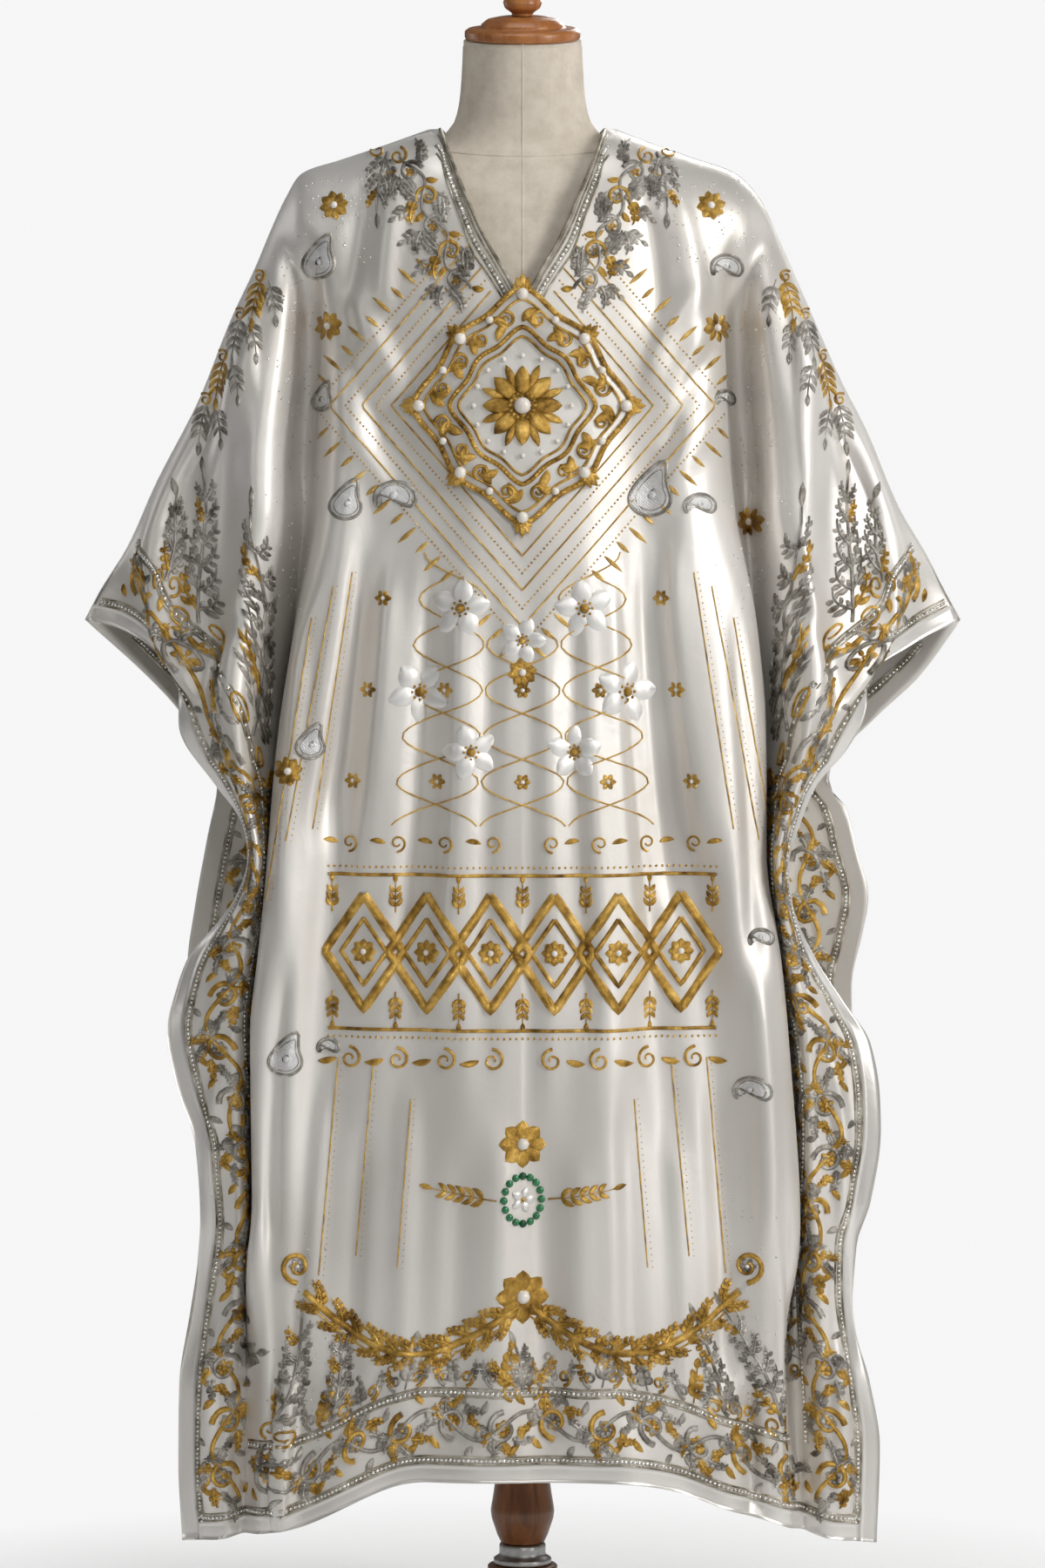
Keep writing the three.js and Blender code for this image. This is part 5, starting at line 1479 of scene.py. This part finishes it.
    # leaf swag above the hem
    for m in (-1, 1):
        pl = seen_place(panel, m)
        t = np.linspace(0, 1, 40)
        a, b = 6 + 214 * t, 392 - 62 * np.sin(np.pi * t * 0.92) + 26 * t
        line_on(gold, pl, a, b, 4.2, 3.0, 5.0)
        line_on(gold_fine, pl, a, b - 9, 1.4, 1.6, 6.0)
        for k in range(11):
            i = int(2 + k * 3.4)
            g = math.atan2(b[i + 1] - b[i], a[i + 1] - a[i])
            acanthus(gold, pl, a[i], b[i], g + 0.85, 30, hand=-1, lobes=4, width=6.0, height=2.4, curl=0.9)
            acanthus(gold, pl, a[i], b[i], g - 0.85, 28, hand=1, lobes=4, width=6.0, height=2.4, curl=0.9)
        spiral(gold, pl, 228, 428, 17, 3, -math.pi / 2, 1.5, half=3.2, height=3.0, hand=1, n=30)
        rosette(silver, pearl, pl, 228, 428, 9)
    rosette(gold, pearl, place, 0, 402, 27, petals=8, height=2.8)
    tall_spray(gold, silver, pearl, place, 0, 308, math.pi / 2, 46)
    for m in (-1, 1):
        acanthus(gold, seen_place(panel, m), 10, 316, 0.5, 34, hand=1, lobes=5, width=6.0, height=2.4)
    # loose seed beads scattered on the shoulders and skirt
    pts = []
    for m in (-1, 1):
        pts += [(m * x, z) for x, z in zip(RNG.normal(236, 15, 150), RNG.uniform(1080, 1470, 150))]
        pts += [(m * x, z) for x, z in zip(RNG.uniform(150, 225, 70), RNG.uniform(1440, 1530, 70))]
        pts += [(m * x, z) for x, z in zip(RNG.normal(228, 16, 60), RNG.uniform(200, 520, 60))]
    pts = np.array(pts)
    P, N = place(pts[:, 0], pts[:, 1])
    beads.bead(P, N, RNG.uniform(0.6, 1.35, len(P)), squash=0.9, sides=5)


def neck_line(a):
    """Height of the V neckline at a distance from the middle."""
    k = np.clip(np.asarray(a, float) / 92.0, 0, 1)
    return np.where(np.asarray(a) >= 92, 1620.0, V_POINT + 194 * (0.06 * k * k + 0.94 * k ** 1.08))


# ------------------------------------------------------------------ chest medallion
MED_Z, MED_W, MED_H = 1297.0, 108.0, 116.0


def lobe(ang):
    c, s = np.abs(np.cos(ang)), np.abs(np.sin(ang))
    return 1 / ((c ** 1.35 + s ** 1.35) ** (1 / 1.35)) * (1 + 0.035 * np.cos(8 * ang))


def medallion_surface():
    base = seen_place(front)
    y0 = base(np.array([0.0]), np.array([MED_Z - 60]))[0][0, 1]

    def place(a, b):
        a, b = np.atleast_1d(a), np.atleast_1d(b)
        P, _ = base(a, np.minimum(b, V_POINT - 14))
        y = np.minimum(P[:, 1], y0 + 34)
        return np.stack([a, y - 6.2, b], 1), np.tile([[0.0, -1.0, 0.0]], (len(a), 1))
    return place


def medallion():
    place = medallion_surface()
    disc, rope, pearls = Stitch(), Stitch(), Stitch()
    n = 96
    ang = 2 * np.pi * np.arange(n) / n
    rings = []
    for r, h in ((1.0, -5.2), (1.0, 0.3), (0.93, 0.9), (0.66, 0.9), (0.60, -0.2), (0.3, 0.2), (0.02, 0.3)):
        P, N = place(MED_W * r * lobe(ang) * np.cos(ang), MED_Z + MED_H * r * lobe(ang) * np.sin(ang))
        rings.append(P + N * h)
    V = np.concatenate(rings)
    i = np.arange(n * len(rings)).reshape(len(rings), n)
    j = np.roll(i, -1, axis=1)
    F = np.stack([i[:-1], j[:-1], j[1:], i[1:]], -1).reshape(-1, 4)
    disc.add(V, F)
    disc.f.append(np.array([[i[-1, 0], i[-1, n // 4], i[-1, n // 2], i[-1, 3 * n // 4]]]))

    def ring_rope(q, half, height, twist=0):
        t = np.linspace(0, 2 * np.pi, 193)
        P, N = place(MED_W * q * lobe(t) * np.cos(t), MED_Z + MED_H * q * lobe(t) * np.sin(t))
        rope.ribbon(P, N, half, height)
        if twist:
            k = np.arange(0, 192, 2)
            rope.bead(P[k] + N[k] * (height * 0.55), N[k], half * 0.85, squash=0.9, sides=6)
    ring_rope(0.985, 3.0, 3.0, 1)
    ring_rope(0.885, 1.6, 2.4)
    ring_rope(0.655, 2.6, 3.0, 1)
    ring_rope(0.575, 1.4, 2.2)
    flat = lambda a, b: place(a, b)
    # leaf wreath between the ropes
    for k in range(32):
        t = 2 * np.pi * k / 32
        q = 0.70 + 0.02 * (k % 2)
        a, b = MED_W * q * lobe(t) * math.cos(t), MED_Z + MED_H * q * lobe(t) * math.sin(t)
        leaf(rope, flat, float(a), float(b), t + (0.7 if k % 2 else -0.7), 21, 4.4, 3.4, bend=0.5 * (1 if k % 2 else -1), n=7)
    for k in range(16):
        t = 2 * np.pi * (k + 0.5) / 16
        q = 0.80
        a, b = MED_W * q * lobe(t) * math.cos(t), MED_Z + MED_H * q * lobe(t) * math.sin(t)
        spiral(rope, flat, float(a), float(b), 8.5, 2.0, t, 1.3, half=2.2, height=3.2, hand=1 if k % 2 else -1, n=18)
    # palmettes at the four points and the lobes between
    for k in range(8):
        t = np.pi / 4 * k
        q = 0.985
        a, b = float(MED_W * q * lobe(t) * math.cos(t)), float(MED_Z + MED_H * q * lobe(t) * math.sin(t))
        for da, ln in ((-0.75, 14), (-0.35, 18), (0.0, 21), (0.35, 18), (0.75, 14)):
            leaf(rope, flat, a - 7 * math.cos(t), b - 7 * math.sin(t), t + da, ln, 3.4, 4.2, bend=0.0, n=6)
    t = 2 * np.pi * np.arange(8) / 8
    P, N = place(MED_W * 0.93 * lobe(t) * np.cos(t), MED_Z + MED_H * 0.93 * lobe(t) * np.sin(t))
    pearls.bead(P + N * 3.2, N, 6.0, squash=1.0, sides=14)
    t = t + np.pi / 8
    P, N = place(MED_W * 0.93 * lobe(t) * np.cos(t), MED_Z + MED_H * 0.93 * lobe(t) * np.sin(t))
    pearls.bead(P + N * 2.4, N, 4.0, squash=1.0, sides=12)
    # heart: eight-petal rosette, pearls around it
    for k in range(8):
        t = 2 * np.pi * k / 8
        leaf(rope, flat, 7 * math.cos(t), MED_Z + 7 * math.sin(t), t, 33, 7.2, 4.4, bend=0, n=9)
        leaf(rope, flat, 20 * math.cos(t + 0.39), MED_Z + 20 * math.sin(t + 0.39), t + 0.39, 24, 3.6, 3.2, bend=0, n=7)
    P, N = place(np.array([0.0]), np.array([MED_Z]))
    pearls.bead(P + N * 3.4, N, 8.5, squash=0.9, sides=16)
    t = 2 * np.pi * np.arange(16) / 16
    P, N = place(49 * np.cos(t), MED_Z + 50 * np.sin(t))
    pearls.bead(P + N * 1.2, N, 2.6, squash=1.0, sides=9)
    P, N = place(12.5 * np.cos(t), MED_Z + 12.5 * np.sin(t))
    rope.bead(P + N * 4.0, N, 2.1, squash=1.0, sides=7)
    own(disc.build("medallion_ground", MED_GROUND), "gold_thread", "chest_medallion")
    own(rope.build("medallion_ropes", GOLD), "gold_thread")
    own(pearls.build("medallion_pearls", PEARL), "silver_braid")


MED_GROUND = satin_material("medallion_ground_cloth", (0.80, 0.785, 0.75), (0.66, 0.64, 0.60), 0.42)
medallion()


# ------------------------------------------------------------------ stitched pieces
for panel, label in ((front, "front"), (back, "back")):
    PLAIN["on"] = not panel.is_front
    gold, silver, pearl, trim, trim_beads = [Stitch() for _ in range(5)]
    border(panel, gold, silver, pearl, trim, trim_beads)
    shoulders(panel, gold, silver, pearl)
    own(gold.build(label + "_gold_scrolls", GOLD), "gold_thread")
    own(silver.build(label + "_silver_scrolls", SILVER), "silver_braid")
    own(pearl.build(label + "_flower_hearts", GOLD_FINE), "gold_thread")
    own(trim.build(label + "_inner_braid", BRAID), "silver_braid")
    own(trim_beads.build(label + "_inner_braid_beads", BEADS), "silver_braid")

def inside_place(panel, side):
    def place(a, b):
        P, N = panel.on_side(side, a, b)
        return P, -N
    return place


gold, silver, pearl, trim, trim_beads = [Stitch() for _ in range(5)]
for side in (-1, 1):
    place = inside_place(back, side)
    scroll_border(gold, silver, pearl, place, 130, 800, phase=0)
    edge_trim(trim, trim_beads, place, 60, 860, BAND_WIDTH, BRAID_WIDTH, step=9.0)
    edge_trim(trim, trim_beads, place, 110, 820, 86, 11, step=9.0)
own(gold.build("inside_gold_scrolls", GOLD), "gold_thread")
own(silver.build("inside_silver_scrolls", SILVER), "silver_braid")
own(pearl.build("inside_flower_hearts", GOLD_FINE), "gold_thread")
own(trim.build("inside_braid", BRAID), "silver_braid")
own(trim_beads.build("inside_braid_beads", BEADS), "silver_braid")

PLAIN["on"] = False
gold_fine, gold, silver, white, fills, pearl, green, beads = [Stitch() for _ in range(8)]
plain_middle(front, gold_fine, gold, silver, white, fills, pearl, green, beads)
own(gold_fine.build("front_fine_gold", GOLD_FINE), "gold_thread")
own(gold.build("front_gold_motifs", GOLD), "gold_thread")
own(silver.build("front_drop_outlines", SILVER), "silver_braid")
own(white.build("front_blossoms", WHITE), "satin")
own(fills.build("front_drop_padding", thread_material("silver_padded_fill", (0.92, 0.92, 0.92), (0.80, 0.80, 0.80), (0.62, 0.62, 0.63), 0.40, 0.35, 220.0)), "silver_braid")
own(pearl.build("front_motif_hearts", PEARL), "silver_braid")
own(green.build("front_green_beads", GREEN), "gold_thread")
own(beads.build("front_seed_beads", GLITTER), "silver_braid")


# ------------------------------------------------------------------ dress form and stand
def loft_object(name, sections, sides, slot_name, mat, *cad):
    zs = np.array([s["z"] for s in sections])
    fine = np.unique(np.concatenate([zs] + [np.linspace(zs[k], zs[k + 1], 4) for k in range(len(zs) - 1)]))
    wide, deep, fore = (np.interp(fine, zs, [s[k] for s in sections]) for k in ("wide", "deep", "fore"))
    wide, deep = smooth(zs, [s["wide"] for s in sections], fine), smooth(zs, [s["deep"] for s in sections], fine)
    tilt = np.clip((fine - 1645) / 25, 0, 1) * 8.87
    ang = 2 * np.pi * np.arange(sides) / sides
    V = np.stack([wide[:, None] * np.cos(ang), deep[:, None] * np.sin(ang) - fore[:, None], fine[:, None] + tilt[:, None] * np.sin(ang)], -1)
    n, m = V.shape[:2]
    i = np.arange(n * m).reshape(n, m)
    j = np.roll(i, -1, axis=1)
    F = np.stack([i[:-1], j[:-1], j[1:], i[1:]], -1).reshape(-1, 4).tolist()
    F.append(i[0, ::-1].tolist())
    F.append(i[-1].tolist())
    obj = own(new_object(name, V.reshape(-1, 3), F, mat), slot_name, *cad)
    return obj


def turned_object(name, profile, sides, slot_name, mat, cad, x=0.0, y=0.0, z=0.0, tilt=0.0):
    r, h = np.array([p["r"] for p in profile]), np.array([p["z"] for p in profile])
    L = np.concatenate([[0], np.cumsum(np.hypot(np.diff(r), np.diff(h)))])
    fine = np.unique(np.concatenate([L] + [L[k] + (L[k + 1] - L[k]) * np.array([0.15, 0.5, 0.85]) for k in range(len(L) - 1)]))
    r, h = np.interp(fine, L, r), np.interp(fine, L, h)
    # corners eased a little
    r[1:-1], h[1:-1] = (0.25 * r[:-2] + 0.5 * r[1:-1] + 0.25 * r[2:]), (0.25 * h[:-2] + 0.5 * h[1:-1] + 0.25 * h[2:])
    ang = 2 * np.pi * np.arange(sides) / sides
    V = np.stack([r[:, None] * np.cos(ang), r[:, None] * np.sin(ang), h[:, None] * np.ones(sides)], -1).reshape(-1, 3)
    c, s = math.cos(tilt), math.sin(tilt)
    Y, Z = V[:, 1] * c - V[:, 2] * s, V[:, 1] * s + V[:, 2] * c
    V = np.stack([V[:, 0] + x, Y + y, Z + z], -1)
    n = len(r)
    i = np.arange(n * sides).reshape(n, sides)
    j = np.roll(i, -1, axis=1)
    F = np.stack([i[:-1], j[:-1], j[1:], i[1:]], -1).reshape(-1, 4)
    obj = new_object(name, V, F.tolist(), mat)
    bm_clean(obj)
    return own(obj, slot_name, cad)


def bm_clean(obj):
    import bmesh
    bm = bmesh.new()
    bm.from_mesh(obj.data)
    bmesh.ops.remove_doubles(bm, verts=bm.verts, dist=1e-6)
    bmesh.ops.recalc_face_normals(bm, faces=bm.faces)
    bm.to_mesh(obj.data)
    bm.free()


form = loft_object("form_linen_body", FORM, 128, "linen", LINEN, "form_body")
top_fore = -FORM[-1]["fore"]
neck_top = FORM[-1]["z"] + 0.4
turned_object("form_cap_turned", NECK_CAP, 96, "turned_wood", TURNED, "form_neck_cap", 0, top_fore, neck_top, CAP_TILT)
turned_object("form_finial_turned", FINIAL, 64, "turned_wood", TURNED, "form_finial", 0, top_fore - math.sin(CAP_TILT) * 24.35, neck_top + 24.35 * math.cos(CAP_TILT), CAP_TILT)
turned_object("stand_pole_turned", POLE, 72, "dark_wood", DARK, "stand_pole")
turned_object("stand_collar_turned", COLLAR, 72, "steel", STEEL, "stand_collar")
turned_object("stand_base_turned", BASE, 128, "dark_wood", DARK, "stand_base")


def form_at(ang, z):
    zs = [s["z"] for s in FORM]
    w, d = smooth(zs, [s["wide"] for s in FORM], z), smooth(zs, [s["deep"] for s in FORM], z)
    f = np.interp(z, zs, [s["fore"] for s in FORM])
    P = np.stack([w * np.cos(ang), d * np.sin(ang) - f, z], -1)
    N = np.stack([np.cos(ang) / w, np.sin(ang) / d, np.zeros_like(ang)], -1)
    return P, N / np.linalg.norm(N, axis=-1, keepdims=True)


# seams of the linen cover: middle front and back, sides, and around the neck foot
seams = Stitch()
z = np.linspace(900, 1664, 90)
for ang in (-math.pi / 2, math.pi / 2, 0.0, math.pi):
    P, N = form_at(np.full(len(z), ang), z)
    seams.ribbon(P - N * 0.7, N, 0.9, 0.5, sink=0.3)
ang = np.linspace(0, 2 * np.pi, 97)
P, N = form_at(ang, 1561 - 12 * np.maximum(0, -np.sin(ang)) ** 2)
seams.ribbon(P - N * 0.7, N, 1.3, 0.6, sink=0.3)
own(seams.build("form_seams", LINEN), "linen")


# ------------------------------------------------------------------ setting, light and camera
def plane(name, verts, mat):
    mesh = bpy.data.meshes.new(name)
    mesh.from_pydata(verts, [], [list(range(len(verts)))])
    obj = bpy.data.objects.new(name, mesh)
    bpy.context.scene.collection.objects.link(obj)
    mesh.materials.append(mat)
    return obj


def plain(name, color, glow=0.0, shine=None):
    m = bpy.data.materials.new(name)
    m.use_nodes = True
    b = m.node_tree.nodes["Principled BSDF"]
    b.inputs["Base Color"].default_value = (*color, 1)
    b.inputs["Roughness"].default_value = 0.9
    b.inputs["Emission Color"].default_value = (*(shine or color), 1)
    b.inputs["Emission Strength"].default_value = glow
    return m


plane("studio_floor", [(-3.4, -3.4, -0.0005), (3.4, -3.4, -0.0005), (3.4, 3.4, -0.0005), (-3.4, 3.4, -0.0005)], plain("floor_paper", (0.74, 0.74, 0.74), 1.0, (0.20, 0.20, 0.20)))
# pale paper walls on all four sides, seen only from inside the room and giving no light
paper = bpy.data.materials.new("backdrop_paper")
paper.use_nodes = True
tree = paper.node_tree
tree.nodes.clear()
side_of = tree.nodes.new("ShaderNodeNewGeometry")
glow = tree.nodes.new("ShaderNodeEmission")
glow.inputs["Color"].default_value = (0.925, 0.925, 0.925, 1)
clear = tree.nodes.new("ShaderNodeBsdfTransparent")
pick = tree.nodes.new("ShaderNodeMixShader")
result = tree.nodes.new("ShaderNodeOutputMaterial")
tree.links.new(side_of.outputs["Backfacing"], pick.inputs[0])
tree.links.new(glow.outputs[0], pick.inputs[1])
tree.links.new(clear.outputs[0], pick.inputs[2])
tree.links.new(pick.outputs[0], result.inputs["Surface"])
R = 3.4
for k, (ax, ay, bx, by) in enumerate(((-R, R, R, R), (R, R, R, -R), (R, -R, -R, -R), (-R, -R, -R, R))):
    wall = plane("studio_backdrop_%d" % k, [(ax, ay, -0.0005), (bx, by, -0.0005), (bx, by, 7), (ax, ay, 7)], paper)
    wall.visible_diffuse = wall.visible_glossy = wall.visible_transmission = wall.visible_shadow = False

# away from the stand the floor fades into the same pale paper
fade_mat = paper.copy()
fade_mat.name = "floor_fade_paper"
ft = fade_mat.node_tree
coord = ft.nodes.new("ShaderNodeTexCoord")
far = ft.nodes.new("ShaderNodeVectorMath")
far.operation = "LENGTH"
span = ft.nodes.new("ShaderNodeMapRange")
span.inputs["From Min"].default_value, span.inputs["From Max"].default_value = 1.0, 0.3
ft.links.new(coord.outputs["Object"], far.inputs[0])
ft.links.new(far.outputs["Value"], span.inputs["Value"])
mixer = [n for n in ft.nodes if n.type == "MIX_SHADER"][0]
ft.links.new(span.outputs["Result"], mixer.inputs[0])
fade = plane("floor_fade", [(-3.4, -3.4, -0.0002), (3.4, -3.4, -0.0002), (3.4, 3.4, -0.0002), (-3.4, 3.4, -0.0002)], fade_mat)
fade.visible_diffuse = fade.visible_glossy = fade.visible_transmission = fade.visible_shadow = False


def area(name, at, to, size, power, color=(1, 1, 1)):
    lamp = bpy.data.lights.new(name, "AREA")
    lamp.shape = "RECTANGLE"
    lamp.size, lamp.size_y = size
    lamp.energy = power
    lamp.color = color
    obj = bpy.data.objects.new(name, lamp)
    obj.location = at
    obj.rotation_euler = (Vector(to) - Vector(at)).to_track_quat("-Z", "Y").to_euler()
    bpy.context.scene.collection.objects.link(obj)


area("key_right", (2.6, -1.9, 2.3), (0, 0, 0.95), (0.65, 2.2), 67, (1.0, 0.985, 0.96))
area("fill_left", (-2.6, -2.1, 2.2), (0, 0, 0.95), (0.65, 2.2), 8, (1.0, 0.985, 0.96))
area("front_soft", (0.8, -4.3, 2.7), (0, 0, 0.9), (1.0, 1.0), 25, (1.0, 0.985, 0.96))
area("top_soft", (0, -0.5, 3.6), (0, 0, 1.0), (1.6, 0.8), 13)
area("back_soft", (0.9, 3.0, 2.6), (0, 0, 0.9), (1.2, 1.2), 30, (1.0, 0.985, 0.96))
area("rim_left", (-2.2, 1.2, 1.6), (0, 0, 1.0), (0.7, 1.8), 6)
area("rim_right", (2.2, 1.2, 1.6), (0, 0, 1.0), (0.7, 1.8), 6)

world = bpy.data.worlds.new("studio_air")
world.use_nodes = True
world.node_tree.nodes["Background"].inputs["Color"].default_value = (0.92, 0.91, 0.89, 1)
world.node_tree.nodes["Background"].inputs["Strength"].default_value = 0.10
bpy.context.scene.world = world

view = bpy.context.scene.view_settings
view.view_transform = "Standard"
view.look = "None"
view.exposure, view.gamma = 0.0, 1.0

cam_data = bpy.data.cameras.new("photo_camera")
cam = bpy.data.objects.new("photo_camera", cam_data)
bpy.context.scene.collection.objects.link(cam)
aim = Vector((0, -0.10, 0.916))
tilt = math.radians(3)
cam.location = aim + Vector((0, -6 * math.cos(tilt), 6 * math.sin(tilt)))
cam.rotation_euler = (aim - cam.location).to_track_quat("-Z", "Y").to_euler()
cam_data.sensor_width = 36
cam_data.lens = 136.4
cam_data.clip_end = 40
bpy.context.scene.camera = cam

print("TRIANGLES", sum(sum(len(p.vertices) - 2 for p in o.data.polygons) for o in pieces), max((sum(len(p.vertices) - 2 for p in o.data.polygons), o.name) for o in pieces))
